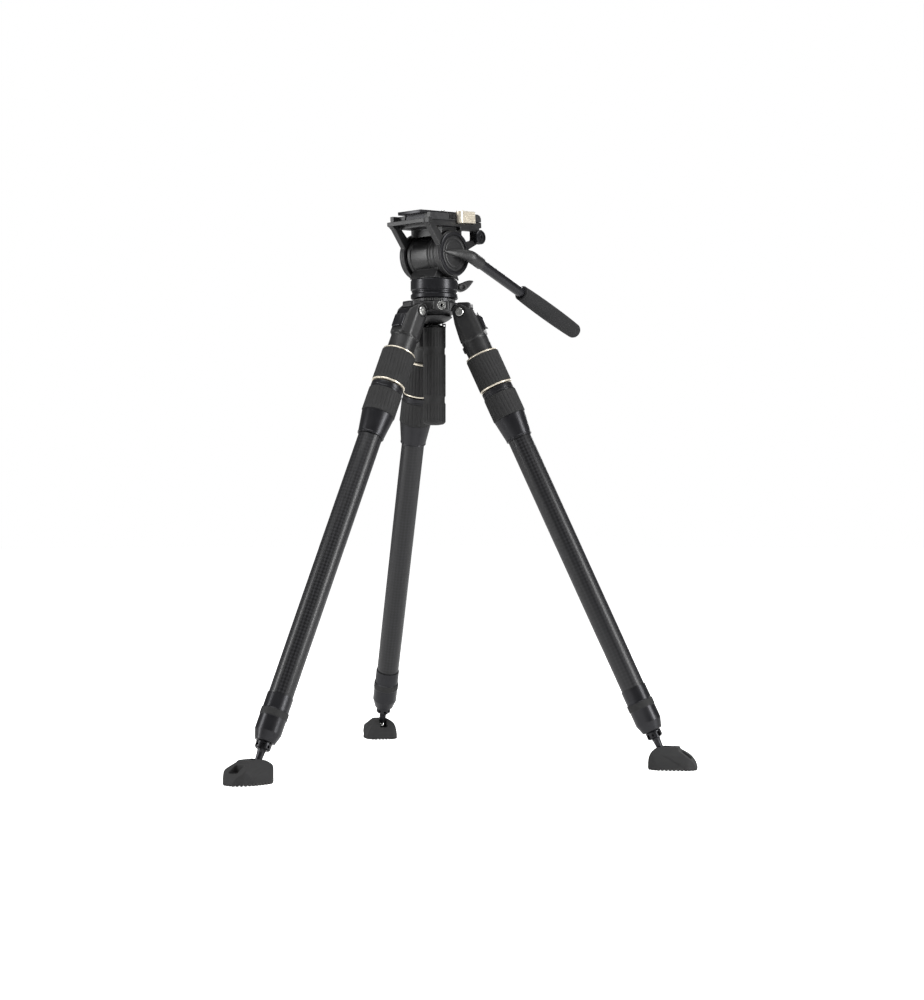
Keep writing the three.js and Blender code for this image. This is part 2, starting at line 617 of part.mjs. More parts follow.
function baseRing() {
  const top = GAP + FLANGE_HEIGHT;
  const shoulderTop = top + GROOVE_HEIGHT;
  return lathe([[0, GAP], [FLANGE_R - 1, GAP], [FLANGE_R, GAP + 1], [FLANGE_R, top - 1.5], [FLANGE_R - 1.5, top], [GROOVE_R, top],
    [GROOVE_R, shoulderTop], [SPINDLE_R, shoulderTop], [SPINDLE_R, shoulderTop + SPINDLE_HEIGHT],
    [0, shoulderTop + SPINDLE_HEIGHT]], HEAD_SIDES);
}

function panDrum() {
  const well = bore(SPINDLE_R, HEAD_SIDES);
  const roof = DRUM_BOTTOM + SPINDLE_HEIGHT + GAP;
  return lathe([[well, DRUM_BOTTOM], [DRUM_R - 1.5, DRUM_BOTTOM], [DRUM_R - 1.5, DRUM_BOTTOM + 2], [DRUM_R, DRUM_BOTTOM + 3],
    [DRUM_R, DRUM_TOP - 1.5], [DRUM_R - 1.5, DRUM_TOP], [0, DRUM_TOP], [0, roof], [well, roof], [well, DRUM_BOTTOM]], HEAD_SIDES);
}

// A fin-shaped lever that turns about a screw lying along the drum's edge.
function panLockLever() {
  const hub = crossRod(PAN_LEVER_HUB_R, -2 * PAN_LEVER_HALF, 2 * PAN_LEVER_HALF, [0, 0], SMALL_SIDES);
  const root = PAN_LEVER_HUB_R - 0.1;
  const fin = polygon([[0, root], [6, root + 3], [13, root + 5], [20.4, root + 5], [21, root + 3], [13.5, 1], [4.5, -root + 1], [0, -root]]);
  return combine(sideSlab(fin, -PAN_LEVER_HALF, PAN_LEVER_HALF), [hub], []);
}

// ---------------------------------------------------------------- tilt unit
// In the tilting frame the tilt axis is X, the camera looks to -Y and +Z is up from the platform.

// The damper's housing stands on the pan drum and carries the cradle on two trunnions.
function tiltHousing() {
  const barrel = crossRod(HOUSING_R, -HOUSING_HALF, HOUSING_HALF, [0, 0], HEAD_SIDES);
  const trunnions = crossRod(TRUNNION_R, GAP - CHEEK_OUTER, CHEEK_OUTER - GAP, [0, 0], HEAD_SIDES);
  const foot = GAP - TILT_OVER_DRUM;
  const saddle = sideSlab(polygon([[-SADDLE_HALF - 3, foot], [SADDLE_HALF + 3, foot], [SADDLE_HALF, foot + 5],
    [SADDLE_HALF - 6, foot + 16], [6 - SADDLE_HALF, foot + 16], [-SADDLE_HALF, foot + 5]]), 1 - SADDLE_HALF, SADDLE_HALF - 1);
  return combine(barrel, [trunnions, saddle], []);
}

// Two cheeks on the tilt axis, V arms up to two rails, and the bars that join the sides.
function cradle() {
  const joined = [];
  const cuts = [];
  for (const left of [CHEEK_INNER, -CHEEK_OUTER]) {
    const right = left + CHEEK_THICK;
    joined.push(crossRod(TILT_DISC_R, left, right, [0, 0], HEAD_SIDES));
    joined.push(sideSlab(polygon([[CRADLE_FRONT, RAIL_BOTTOM + 4], [CRADLE_FRONT + ARM_WIDTH, RAIL_BOTTOM], [-36, 14], [-24, 27],
      [CRADLE_FRONT + 14, RAIL_TOP], [CRADLE_FRONT, RAIL_TOP]]), left, right));
    const [knobY, knobZ] = KNOB_PLACE;
    joined.push(sideSlab(polygon([[28, 3], [knobY, knobZ - 11], [knobY + 6, knobZ - 6], [knobY + 7, RAIL_BOTTOM], [knobY + 6, RAIL_TOP],
      [knobY - 8, RAIL_TOP], [knobY - 10, knobZ - 4.5], [24, 17]]), left, right));
    joined.push(block(left, right, CRADLE_FRONT + 4, CRADLE_REAR - 2, RAIL_BOTTOM, RAIL_TOP));
    joined.push(block(left, right, 20, STOP_BLOCK_FRONT, RAIL_BOTTOM - RAIL_DEEPER, RAIL_BOTTOM + 1));
    cuts.push(crossRod(bore(TRUNNION_R, HEAD_SIDES), left - 1, right + 1, [0, 0], HEAD_SIDES));
  }
  const barBottom = RAIL_TOP + 2 - FRONT_BAR;
  joined.push(block(-CRADLE_HALF, CRADLE_HALF, CRADLE_FRONT, CRADLE_FRONT + FRONT_BAR, barBottom, barBottom + FRONT_BAR));
  joined.push(block(-CHEEK_OUTER, CHEEK_OUTER, RECEIVER_FRONT + CHIN_DEPTH, STOP_BLOCK_FRONT, RAIL_BOTTOM, RAIL_TOP));
  joined.push(block(-CHEEK_INNER - 1, CHEEK_INNER + 1, BEAM_FRONT, BEAM_REAR, HOUSING_R - 2, RAIL_BOTTOM + 1));
  cuts.push(crossRod(HOUSING_R + 1, -CHEEK_INNER, CHEEK_INNER, [0, 0], HEAD_SIDES));
  cuts.push(leverPocket());
  return combine(block(-CHEEK_OUTER, CHEEK_OUTER, CRADLE_REAR - 12, CRADLE_REAR, RAIL_BOTTOM, RAIL_TOP), joined, cuts);
}

// The stepped ring on a cheek's outer face: an open ring on the pan bar's side, a closed cap on the other.
function tiltCapRight() {
  const outer = TILT_DISC_R - 2;
  return ring(outer, CAP_BORE_R, 0, CAP_THICK, HEAD_SIDES).rotateY(Math.PI / 2).translate(CHEEK_OUTER + GAP, 0, 0);
}

function tiltCapLeft() {
  const outer = TILT_DISC_R - 2;
  const cap = lathe([[0, 0], [outer, 0], [outer, CAP_THICK - 1], [outer - 1, CAP_THICK], [CAP_BORE_R - 1, CAP_THICK],
    [CAP_BORE_R - 3, CAP_THICK - 1.5], [0, CAP_THICK - 1.5]], HEAD_SIDES);
  return cap.rotateY(-Math.PI / 2).translate(-CHEEK_OUTER - GAP, 0, 0);
}

function tiltLockKnob() {
  const [y, z] = KNOB_PLACE;
  const knob = lathe([[0, 0], [KNOB_R - 1, 0], [KNOB_R, 1], [KNOB_R, KNOB_THICK - 1.5], [KNOB_R - 1.5, KNOB_THICK],
    [KNOB_R - 4, KNOB_THICK], [KNOB_R - 5, KNOB_THICK - 1.5], [0, KNOB_THICK - 1.5]], LEG_SIDES);
  return knob.rotateY(Math.PI / 2).translate(CHEEK_OUTER + GAP, y, z);
}

// ---------------------------------------------------------------- camera plate and receiver

// The dovetail's cross-section grown by a margin.
function dovetail(margin, floor) {
  const top = PLATE_BOTTOM + 0.5;
  return polygon([[-DOVETAIL_FOOT_HALF - margin, floor], [DOVETAIL_FOOT_HALF + margin, floor],
    [DOVETAIL_TOP_HALF + margin, top], [-DOVETAIL_TOP_HALF - margin, top]]);
}

function receiver() {
  const body = block(-RECEIVER_HALF, RECEIVER_HALF, RECEIVER_FRONT, STOP_BLOCK_FRONT - GAP, RECEIVER_BOTTOM, RECEIVER_TOP);
  const side = new THREE.Shape();
  side.moveTo(STOP_BLOCK_FRONT - 1, RECEIVER_BOTTOM);
  const blockTop = RECEIVER_TOP + STOP_BLOCK_RISE;
  side.lineTo(CRADLE_REAR - 2, RECEIVER_BOTTOM);
  side.quadraticCurveTo(CRADLE_REAR - 2, blockTop, CRADLE_REAR - 9, blockTop);
  side.lineTo(STOP_BLOCK_FRONT - 1, blockTop);
  const stopBlock = sideSlab(side, -RECEIVER_HALF, RECEIVER_HALF);
  const channel = endSlab(dovetail(GAP, CHANNEL_FLOOR), RECEIVER_FRONT - 5, STOP_BLOCK_FRONT);
  const chin = block(-CHIN_HALF, CHIN_HALF, RECEIVER_FRONT - 2, RECEIVER_FRONT + CHIN_DEPTH, RECEIVER_BOTTOM - 1, PLATE_BOTTOM);
  return combine(body, [stopBlock], [chin, channel, leverPocket()]);
}

// Room for the release lever in the receiver's wall and in the rail under it.
function leverPocket() {
  const [x, y] = LEVER_PLACE;
  const margin = LEVER_BARREL_R + GAP;
  return block(x - margin, x + margin + LEVER_THICK, y - margin, LEVER_END + LEVER_ROOM, LEVER_BOTTOM - GAP, LEVER_TOP);
}

function cameraPlate() {
  const slab = block(-PLATE_HALF, PLATE_HALF, PLATE_FRONT, PLATE_FRONT + PLATE_LENGTH, PLATE_BOTTOM, PLATE_TOP);
  const key = endSlab(dovetail(0, DOVETAIL_BOTTOM), KEY_FRONT, PLATE_FRONT + PLATE_LENGTH);
  const screwHole = rod(CAMERA_SCREW_R + GAP, 0, 90, SMALL_SIDES).translate(0, CAMERA_SCREW_Y, 0);
  const headRoom = rod(SCREW_HEAD_R + GAP, 0, PLATE_BOTTOM, SMALL_SIDES).translate(0, CAMERA_SCREW_Y, 0);
  return combine(slab, [key], [screwHole, headRoom]);
}

function cameraScrew() {
  const headTop = PLATE_BOTTOM - GAP;
  const screw = lathe([[0, headTop - 4], [SCREW_HEAD_R, headTop - 4], [SCREW_HEAD_R, headTop], [CAMERA_SCREW_R, headTop],
    [CAMERA_SCREW_R, PLATE_TOP + SCREW_STAND - 0.6], [CAMERA_SCREW_R - 0.6, PLATE_TOP + SCREW_STAND],
    [0, PLATE_TOP + SCREW_STAND]], SMALL_SIDES);
  return screw.translate(0, CAMERA_SCREW_Y, 0);
}

// The plate's release lever swings outward about its barrel.
function releaseLever() {
  const [x, y] = LEVER_PLACE;
  const barrel = rod(LEVER_BARREL_R, LEVER_BOTTOM, LEVER_TOP, SMALL_SIDES).translate(x, y, 0);
  const paddle = block(x - LEVER_BARREL_R + 0.5, x - LEVER_BARREL_R + 0.5 + LEVER_THICK, y, LEVER_END, LEVER_BOTTOM + 1, LEVER_TOP);
  return combine(barrel, [paddle], []);
}

// ---------------------------------------------------------------- pan bar
// In the bar's frame X is the tilt axis and +Y runs along the bar, whose line lies BAR_RISE over the axis.

// A disc on the tilt axis with a tapered arm that swells into the bar's socket.
function panArm() {
  const face = CHEEK_OUTER + GAP;
  const disc = crossRod(PAN_DISC_R, face, face + 2, [0, 0], HEAD_SIDES);
  const low = BAR_SOCKET_R - 0.5;
  const side = polygon([[-27, -15], [-6, -12.5], [12, -10], [26, -low], [26, low], [12, 8], [-6, 1], [-27, -9.5]]);
  const plan = polygon([[face + 1, -27], [face + 4.5, -27], [54, -6], [63.5, 12], [BAR_OFFSET + low, 26],
    [BAR_OFFSET - low, 26], [face + 1, 12]]);
  const top = upright(plan, -2 * BAR_SOCKET_R, 2 * BAR_SOCKET_R);
  const arm = common(sideSlab(side, face, 90), top).translate(0, 0, BAR_RISE);
  const socket = rod(BAR_SOCKET_R, 20, BAR_SOCKET_END, LEG_SIDES).rotateX(-Math.PI / 2).translate(BAR_OFFSET, 0, BAR_RISE);
  const hole = rod(BAR_R + GAP, BAR_START - GAP, 90, LEG_SIDES).rotateX(-Math.PI / 2).translate(BAR_OFFSET, 0, BAR_RISE);
  return combine(disc, [arm, socket], [hole]);
}

function panBar() {
  return rod(BAR_R, BAR_START, BAR_GRIP_END - 12, LEG_SIDES).rotateX(-Math.PI / 2).translate(BAR_OFFSET, 0, BAR_RISE);
}

function panGrip() {
  const hole = BAR_R + GAP;
  const floor = BAR_GRIP_END - 12 + GAP;
  const middle = (BAR_GRIP_START + BAR_GRIP_END) / 2;
  const grip = lathe([[hole, BAR_GRIP_START], [BAR_GRIP_END_R - 1, BAR_GRIP_START], [BAR_GRIP_END_R, BAR_GRIP_START + 2],
    [BAR_GRIP_R, middle - 30], [BAR_GRIP_R, middle + 30], [BAR_GRIP_END_R, BAR_GRIP_END - 7],
    [BAR_GRIP_END_R - 4, BAR_GRIP_END - 1], [0, BAR_GRIP_END], [0, floor], [hole, floor], [hole, BAR_GRIP_START]], LEG_SIDES);
  return grip.rotateX(-Math.PI / 2).translate(BAR_OFFSET, 0, BAR_RISE);
}

// ---------------------------------------------------------------- assembly

function headAssembly() {
  const head = new THREE.Group();
  head.position.z = BOWL_HEIGHT;
  head.rotation.z = radians(REST_PAN);
  const lever = node('pan_lock_lever', panLockLever(), castAluminium);
  lever.position.set(0, DRUM_R + GAP + PAN_LEVER_HUB_R, DRUM_BOTTOM + DRUM_HEIGHT / 2);
  const leverTurn = new THREE.Group();
  leverTurn.rotation.z = radians(PAN_LEVER_TURN);
  leverTurn.add(lever);
  const housing = node('tilt_housing', tiltHousing(), castAluminium);
  housing.position.z = TILT_HEIGHT;
  const bar = new THREE.Group();
  bar.rotation.x = -radians(BAR_DROP);
  bar.add(
    node('pan_arm', panArm(), castAluminium),
    node('pan_bar', panBar(), machinedAluminium),
    node('pan_grip', panGrip(), foam),
  );
  const tilt = new THREE.Group();
  tilt.position.z = TILT_HEIGHT;
  tilt.rotation.x = radians(REST_TILT);
  tilt.add(
    node('cradle', cradle(), castAluminium),
    node('tilt_cap_right', tiltCapRight(), machinedAluminium),
    node('tilt_cap_left', tiltCapLeft(), machinedAluminium),
    node('tilt_lock_knob', tiltLockKnob(), castAluminium),
    node('receiver', receiver(), castAluminium),
    node('camera_plate', cameraPlate(), machinedAluminium),
    node('camera_screw', cameraScrew(), steel),
    node('release_lever', releaseLever(), champagne),
    bar,
  );
  head.add(
    node('pan_drum', panDrum(), machinedAluminium),
    leverTurn,
    housing,
    tilt,
  );
  return head;
}

function bowlAssembly() {
  const bowl = new THREE.Group();
  bowl.position.z = BOWL_HEIGHT;
  bowl.add(
    node('spider', spider(), castAluminium),
    node('port_bush', portBush(), steel),
    node('half_ball', halfBall(), machinedAluminium),
    node('levelling_stud', levellingStud(), steel),
    node('level_cup', levelCup(), castAluminium),
    node('levelling_grip', levellingGrip(), ribbedRubber),
    node('base_ring', baseRing(), machinedAluminium),
  );
  return bowl;
}

// The origin is on the ground, in the middle of the whole stand's box.
const stand = new THREE.Group();
stand.add(...LEG_NAMES.map(leg), bowlAssembly(), headAssembly());
const middle = new THREE.Box3().setFromObject(stand, true).getCenter(new THREE.Vector3());
stand.position.set(-middle.x, -middle.y, 0);

const tripod = new THREE.Group();
tripod.add(stand);
export default tripod;
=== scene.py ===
import json
import math

import bmesh
import bpy
from mathutils import Matrix, Vector


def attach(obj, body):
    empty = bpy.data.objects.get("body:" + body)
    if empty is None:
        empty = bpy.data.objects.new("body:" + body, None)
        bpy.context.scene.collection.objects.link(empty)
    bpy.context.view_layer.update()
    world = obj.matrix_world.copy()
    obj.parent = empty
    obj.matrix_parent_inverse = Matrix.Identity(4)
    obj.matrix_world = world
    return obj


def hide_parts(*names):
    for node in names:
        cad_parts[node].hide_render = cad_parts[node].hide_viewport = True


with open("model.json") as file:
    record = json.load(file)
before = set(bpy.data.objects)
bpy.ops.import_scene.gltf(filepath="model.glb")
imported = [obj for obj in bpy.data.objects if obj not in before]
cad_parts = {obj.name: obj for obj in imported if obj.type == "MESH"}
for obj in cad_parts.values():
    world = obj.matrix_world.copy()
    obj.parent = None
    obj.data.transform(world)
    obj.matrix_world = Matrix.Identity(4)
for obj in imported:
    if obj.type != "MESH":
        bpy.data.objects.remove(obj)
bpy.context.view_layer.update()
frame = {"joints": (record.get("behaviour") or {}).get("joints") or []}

scene = bpy.context.scene

# ---------------------------------------------------------------- camera
# A short telephoto at hip height, to the right of the front leg, looks level across the stand.
eye = bpy.data.cameras.new("studio_camera")
eye.lens = 71.25
eye.sensor_width = 36
eye.clip_end = 60
camera = bpy.data.objects.new("studio_camera", eye)
camera.location = (2.3947, -2.3118, 0.3961)
CAMERA_TURN = math.radians(44.48)
camera.rotation_euler = (math.radians(90.837), 0, CAMERA_TURN)
scene.collection.objects.link(camera)
scene.camera = camera

# ---------------------------------------------------------------- studio
# A white sweep and a bright room. Two tall softboxes draw the long highlights on the round
# black pieces, and a wide one overhead lights the top edges and lays a soft shadow.
TO_CAMERA = Vector((math.sin(CAMERA_TURN), -math.cos(CAMERA_TURN), 0))
TO_RIGHT = Vector((math.cos(CAMERA_TURN), math.sin(CAMERA_TURN), 0))
SUBJECT = Vector((0, 0.06, 0.55))


def linear(colour, alpha=1.0):
    """An sRGB hex colour as linear red, green, blue and alpha."""
    parts = [int(colour[i:i + 2], 16) / 255 for i in (1, 3, 5)]
    return (*[p / 12.92 if p <= 0.04045 else ((p + 0.055) / 1.055) ** 2.4 for p in parts], alpha)


def add_node(tree, kind, settings=None, inputs=None):
    """Adds a node, sets its properties, and links or sets each named or numbered input."""
    made = tree.nodes.new(kind)
    for name, value in (settings or {}).items():
        setattr(made, name, value)
    for name, value in (inputs or {}).items():
        if isinstance(value, bpy.types.NodeSocket):
            tree.links.new(value, made.inputs[name])
        else:
            made.inputs[name].default_value = value
    return made


def softbox(name, direction, distance, height, width, tall, power):
    """A rectangular light that faces the middle of the stand."""
    lamp = bpy.data.lights.new(name, "AREA")
    lamp.shape = "RECTANGLE"
    lamp.size, lamp.size_y, lamp.energy = width, tall, power
    held = bpy.data.objects.new(name, lamp)
    held.location = Vector((0, 0.06, height)) + direction.normalized() * distance
    held.rotation_euler = (SUBJECT - held.location).to_track_quat("-Z", "Y").to_euler()
    scene.collection.objects.link(held)


def beside(degrees):
    """The level direction that many degrees to the camera's right, seen from the stand."""
    turn = math.radians(degrees)
    return TO_CAMERA * math.cos(turn) + TO_RIGHT * math.sin(turn)


softbox("softbox_right", beside(62), 2.6, 0.95, 0.75, 2.0, 62)
softbox("softbox_left", beside(-72), 2.6, 0.9, 0.6, 2.0, 44)
softbox("softbox_back", beside(165), 3.2, 1.7, 1.6, 1.2, 30)
softbox("softbox_top", Vector((0.2, -0.35, 0.01)), 0.6, 2.9, 2.2, 2.2, 70)

room = bpy.data.worlds.new("white_room")
room.use_nodes = True
scene.world = room
tree = room.node_tree
ray = add_node(tree, "ShaderNodeLightPath")
seen = add_node(tree, "ShaderNodeMapRange", inputs={"Value": ray.outputs["Is Camera Ray"], "To Min": 0.16,
    "To Max": 1.0})
tree.links.new(seen.outputs["Result"], tree.nodes["Background"].inputs["Strength"])
tree.nodes["Background"].inputs["Color"].default_value = (1, 1, 1, 1)

floor_mesh = bpy.data.meshes.new("studio_floor")
floor_mesh.from_pydata([(-30, -30, 0), (30, -30, 0), (30, 30, 0), (-30, 30, 0)], [], [(0, 1, 2, 3)])
floor = bpy.data.objects.new("studio_floor", floor_mesh)
scene.collection.objects.link(floor)
paper = bpy.data.materials.new("matt_white_paper")
paper.use_nodes = True
sheet = paper.node_tree.nodes["Principled BSDF"]
sheet.inputs["Base Color"].default_value = linear("#f4f4f4")
sheet.inputs["Roughness"].default_value = 0.95
sheet.inputs["Specular IOR Level"].default_value = 0.1
sheet.inputs["Emission Color"].default_value = (1, 1, 1, 1)
ray = add_node(paper.node_tree, "ShaderNodeLightPath")
glow = add_node(paper.node_tree, "ShaderNodeMapRange", inputs={"Value": ray.outputs["Is Camera Ray"],
    "To Min": 0.16, "To Max": 0.97})
paper.node_tree.links.new(glow.outputs["Result"], sheet.inputs["Emission Strength"])
floor_mesh.materials.append(paper)
scene.view_settings.view_transform = "Standard"

# ---------------------------------------------------------------- spider casting
# The casting that the three legs hang from: a bowl seat, three lugs with stop wings and three
# port blocks. Sand-cast aluminium, machined where the pins go through, then powder coated.
MM = 0.001
CREASE = 32
PIN_HOLE_R = 4.3
joint = {entry["name"]: entry for entry in frame["joints"]}


def point(name):
    """A joint's place in millimetres."""
    return Vector(joint[name]["pos_m"]) / MM


def axis(name):
    return Vector(joint[name]["axis"]).normalized()


def axes(origin, across, up):
    """A frame with its origin, X along across and Z as near up as it can be, in millimetres."""
    x = across.normalized()
    y = up.cross(x).normalized()
    z = x.cross(y)
    turned_to = Matrix((x, y, z)).transposed().to_4x4()
    return Matrix.Translation(origin) @ turned_to


def polar(radius, degrees, middle=0.0):
    """A point that far round from the top of a circle, as a radius and a height."""
    angle = math.radians(degrees)
    return radius * math.sin(angle), middle + radius * math.cos(angle)


def rounded(outline, radius, steps=3):
    """The outline with each corner turned into a small arc; corners on the axis stay sharp."""
    softer = []
    count = len(outline)
    for i, corner in enumerate(outline):
        here = Vector(corner)
        before, after = Vector(outline[i - 1]), Vector(outline[(i + 1) % count])
        way_in, way_out = here - before, after - here
        if way_in.length < 1e-6 or way_out.length < 1e-6 or abs(here.x) < 1e-6:
            softer.append(tuple(here))
            continue
        turn = way_in.angle(way_out)
        if turn < math.radians(12):
            softer.append(tuple(here))
            continue
        back = min(radius * math.tan(turn / 2), 0.45 * way_in.length, 0.45 * way_out.length)
        first, last = here - way_in.normalized() * back, here + way_out.normalized() * back
        for step in range(steps + 1):
            t = step / steps
            softer.append(tuple(first * (1 - t) ** 2 + here * 2 * t * (1 - t) + last * t * t))
    return softer


def shape(vertices, faces, uvs=None):
    """A new object from vertices in millimetres, with its normals outwards."""
    mesh = bpy.data.meshes.new("shape")
    mesh.from_pydata(vertices, [], faces)
    if uvs:
        layer = mesh.uv_layers.new(name="millimetres")
        layer.data.foreach_set("uv", [value for pair in uvs for value in pair])
    made = bpy.data.objects.new("shape", mesh)
    scene.collection.objects.link(made)
    work = bmesh.new()
    work.from_mesh(mesh)
    bmesh.ops.remove_doubles(work, verts=work.verts, dist=1e-4)
    bmesh.ops.recalc_face_normals(work, faces=work.faces)
    work.to_mesh(mesh)
    work.free()
    return made


def turned(profile, sides=96, soften=0.5):
    """A body turned about Z from a closed outline of radius and height. Its UV map is in millimetres."""
    outline = rounded(profile, soften)
    vertices, faces, uvs, rows, along = [], [], [], [], [0.0]
    for i, (radius, height) in enumerate(outline):
        first = len(vertices)
        if radius < 1e-6:
            rows.append([first])
            vertices.append((0, 0, height))
        else:
            rows.append(list(range(first, first + sides)))
            for k in range(sides):
                turn = 2 * math.pi * k / sides
                vertices.append((radius * math.cos(turn), radius * math.sin(turn), height))
        step = Vector(outline[(i + 1) % len(outline)]) - Vector(outline[i])
        along.append(along[-1] + step.length)
    around = 2 * math.pi * max(radius for radius, height in outline) / sides
    for i, row in enumerate(rows):
        after = rows[(i + 1) % len(rows)]
        if len(row) == 1 and len(after) == 1:
            continue
        for k in range(sides):
            k_next = (k + 1) % sides
            corners = [(row[k % len(row)], k, i), (row[k_next % len(row)], k + 1, i),
                       (after[k_next % len(after)], k + 1, i + 1), (after[k % len(after)], k, i + 1)]
            kept = []
            for corner in corners:
                if corner[0] not in [c[0] for c in kept]:
                    kept.append(corner)
            faces.append([c[0] for c in kept])
            uvs.extend((c[1] * around, along[c[2]]) for c in kept)
    return shape(vertices, faces, uvs)


def slab(outline, low, high, along="x"):
    """An outline given a thickness: along x it lies in YZ, along y in XZ and along z in XY."""
    place = {"x": lambda u, v, w: (w, u, v), "y": lambda u, v, w: (u, w, v), "z": lambda u, v,
        w: (u, v, w)}[along]
    count = len(outline)
    vertices = [place(u, v, w) for w in (low, high) for u, v in outline]
    faces = [list(range(count)), list(range(count, 2 * count))]
    faces += [[i, (i + 1) % count, (i + 1) % count + count, i + count] for i in range(count)]
    return shape(vertices, faces)


def box(x, y, z):
    """A block between two values along each axis."""
    return slab([(x[0], y[0]), (x[1], y[0]), (x[1], y[1]), (x[0], y[1])], z[0], z[1], "z")


def moved(item, place):
    item.data.transform(place)
    return item


def turn(degrees, about="Z"):
    return Matrix.Rotation(math.radians(degrees), 4, about)


def shift(x=0, y=0, z=0):
    return Matrix.Translation((x, y, z))


def rod(radius, low, high, along="z", at=(0, 0), sides=64, soften=0.0):
    """A round bar along an axis, through a point given on the other two axes."""
    bar = turned([(0, low), (radius, low), (radius, high), (0, high)], sides, soften)
    if along == "x":
        return moved(bar, shift(0, *at) @ turn(90, "Y"))
    if along == "y":
        return moved(bar, shift(at[0], 0, at[1]) @ turn(-90, "X"))
    return moved(bar, shift(at[0], at[1], 0))


def settle(item):
    """Applies an object's modifiers to its mesh."""
    depsgraph = bpy.context.evaluated_depsgraph_get()
    solid = bpy.data.meshes.new_from_object(item.evaluated_get(depsgraph))
    item.modifiers.clear()
    item.data = solid
    return item


def carved(base, joined=(), cuts=(), shared=()):
    """One body with others joined to it, cut from it, or limiting it to what they share."""
    for operation, others in (("UNION", joined), ("INTERSECT", shared), ("DIFFERENCE", cuts)):
        for other in others:
            change = base.modifiers.new("join", "BOOLEAN")
            change.operation, change.object, change.solver = operation, other, "MANIFOLD"
            settle(base)
            bpy.data.objects.remove(other)
    return base


def softened(item, voxel, rounds):
    """The small fillets of a casting or a moulding, from a fine remesh and some smoothing."""
    remesh = item.modifiers.new("skin", "REMESH")
    remesh.mode, remesh.voxel_size = "VOXEL", voxel
    smooth = item.modifiers.new("fillets", "SMOOTH")
    smooth.factor, smooth.iterations = 0.5, rounds
    return settle(item)


def edged(item, width, segments=3, limit=30):
    """The small rounds of a machined piece, along its sharp edges."""
    bevel = item.modifiers.new("edges", "BEVEL")
    bevel.width, bevel.segments, bevel.limit_method = width, segments, "ANGLE"
    bevel.angle_limit = math.radians(limit)
    return settle(item)


def merged(items):
    """Several bodies as one mesh."""
    work = bmesh.new()
    for item in items:
        work.from_mesh(item.data)
    mesh = bpy.data.meshes.new("shape")
    work.to_mesh(mesh)
    work.free()
    first = items[0]
    first.data = mesh
    for item in items[1:]:
        bpy.data.objects.remove(item)
    return first


def copied(item):
    twin = item.copy()
    twin.data = item.data.copy()
    scene.collection.objects.link(twin)
    return twin


def piece(name, item, place, finish, body, nodes=()):
    """Sets a shape made in millimetres in its place, finishes it, and ties it to the frame."""
    item.name = item.data.name = name
    item.data.transform(Matrix.Scale(MM, 4) @ place)
    item.data.materials.clear()
    item.data.materials.append(finish)
    item.data.shade_smooth()
    item.data.set_sharp_from_angle(angle=math.radians(CREASE))
    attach(item, body)
    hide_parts(*nodes)
    return item


def new_finish(name, colour, metallic, roughness):
    """A material with its shader's plain values set, for the pieces of one slot."""
    made = bpy.data.materials.new(name)
    made.use_nodes = True
    shader = made.node_tree.nodes["Principled BSDF"]
    shader.inputs["Base Color"].default_value = linear(colour)
    shader.inputs["Metallic"].default_value = metallic
    shader.inputs["Roughness"].default_value = roughness
    return made, made.node_tree, shader


def speckled(tree, shader, colours, grain, cloud, roughness, relief, worn=None):
    """Colour that wanders between two tones, a fine grain in relief, and patchy gloss.

    grain and cloud are sizes in millimetres, roughness its lowest and highest value, relief the
    grain's height in millimetres, and worn a third tone that shows on the outer edges."""
    where = add_node(tree, "ShaderNodeTexCoord").outputs["Object"]
    fine = add_node(tree, "ShaderNodeTexNoise", inputs={"Vector": where, "Scale": 1 / (grain * MM),
        "Detail": 3.0})
    broad = add_node(tree, "ShaderNodeTexNoise", inputs={"Vector": where, "Scale": 1 / (cloud * MM),
        "Detail": 4.0})
    tone = add_node(tree, "ShaderNodeMix", {"data_type": "RGBA"}, {
        "Factor": broad.outputs["Fac"], "A": linear(colours[0]), "B": linear(colours[1])}).outputs["Result"]
    if worn:
        edge = add_node(tree, "ShaderNodeMapRange", inputs={
            "Value": add_node(tree, "ShaderNodeNewGeometry").outputs["Pointiness"],
            "From Min": 0.53, "From Max": 0.62, "To Min": 0.0, "To Max": 0.6})
        patchy = add_node(tree, "ShaderNodeMath", {"operation": "MULTIPLY"},
            {0: edge.outputs["Result"], 1: broad.outputs["Fac"]})
        tone = add_node(tree, "ShaderNodeMix", {"data_type": "RGBA"}, {
            "Factor": patchy.outputs[0], "A": tone, "B": linear(worn)}).outputs["Result"]
    tree.links.new(tone, shader.inputs["Base Color"])
    gloss = add_node(tree, "ShaderNodeMapRange", inputs={
        "Value": broad.outputs["Fac"], "From Min": 0.3, "From Max": 0.7,
        "To Min": roughness[0], "To Max": roughness[1]})
    tree.links.new(gloss.outputs["Result"], shader.inputs["Roughness"])
    bump = add_node(tree, "ShaderNodeBump", inputs={
        "Height": fine.outputs["Fac"], "Strength": 0.6, "Distance": relief * MM})
    tree.links.new(bump.outputs["Normal"], shader.inputs["Normal"])
    return bump


# Powder-coated cast aluminium: baked matt-black powder with a faint orange peel of about a
# millimetre, which breaks up each highlight, and a greyer tone where edges have been rubbed.
powder_coat, tree, shader = new_finish("powder_coated_cast_aluminium", "#1b1b1c", 0.0, 0.4)
speckled(tree, shader, ("#141415", "#1b1b1c"), 0.9, 24, (0.36, 0.46), 0.012, worn="#3c3c3e")

bowl = Matrix.Translation(point("bowl_level"))
PIN_RING = 49.4
BOWL_OVER_PIN = 24
LUG_HALF = 12.5
CHEEK_R = 13


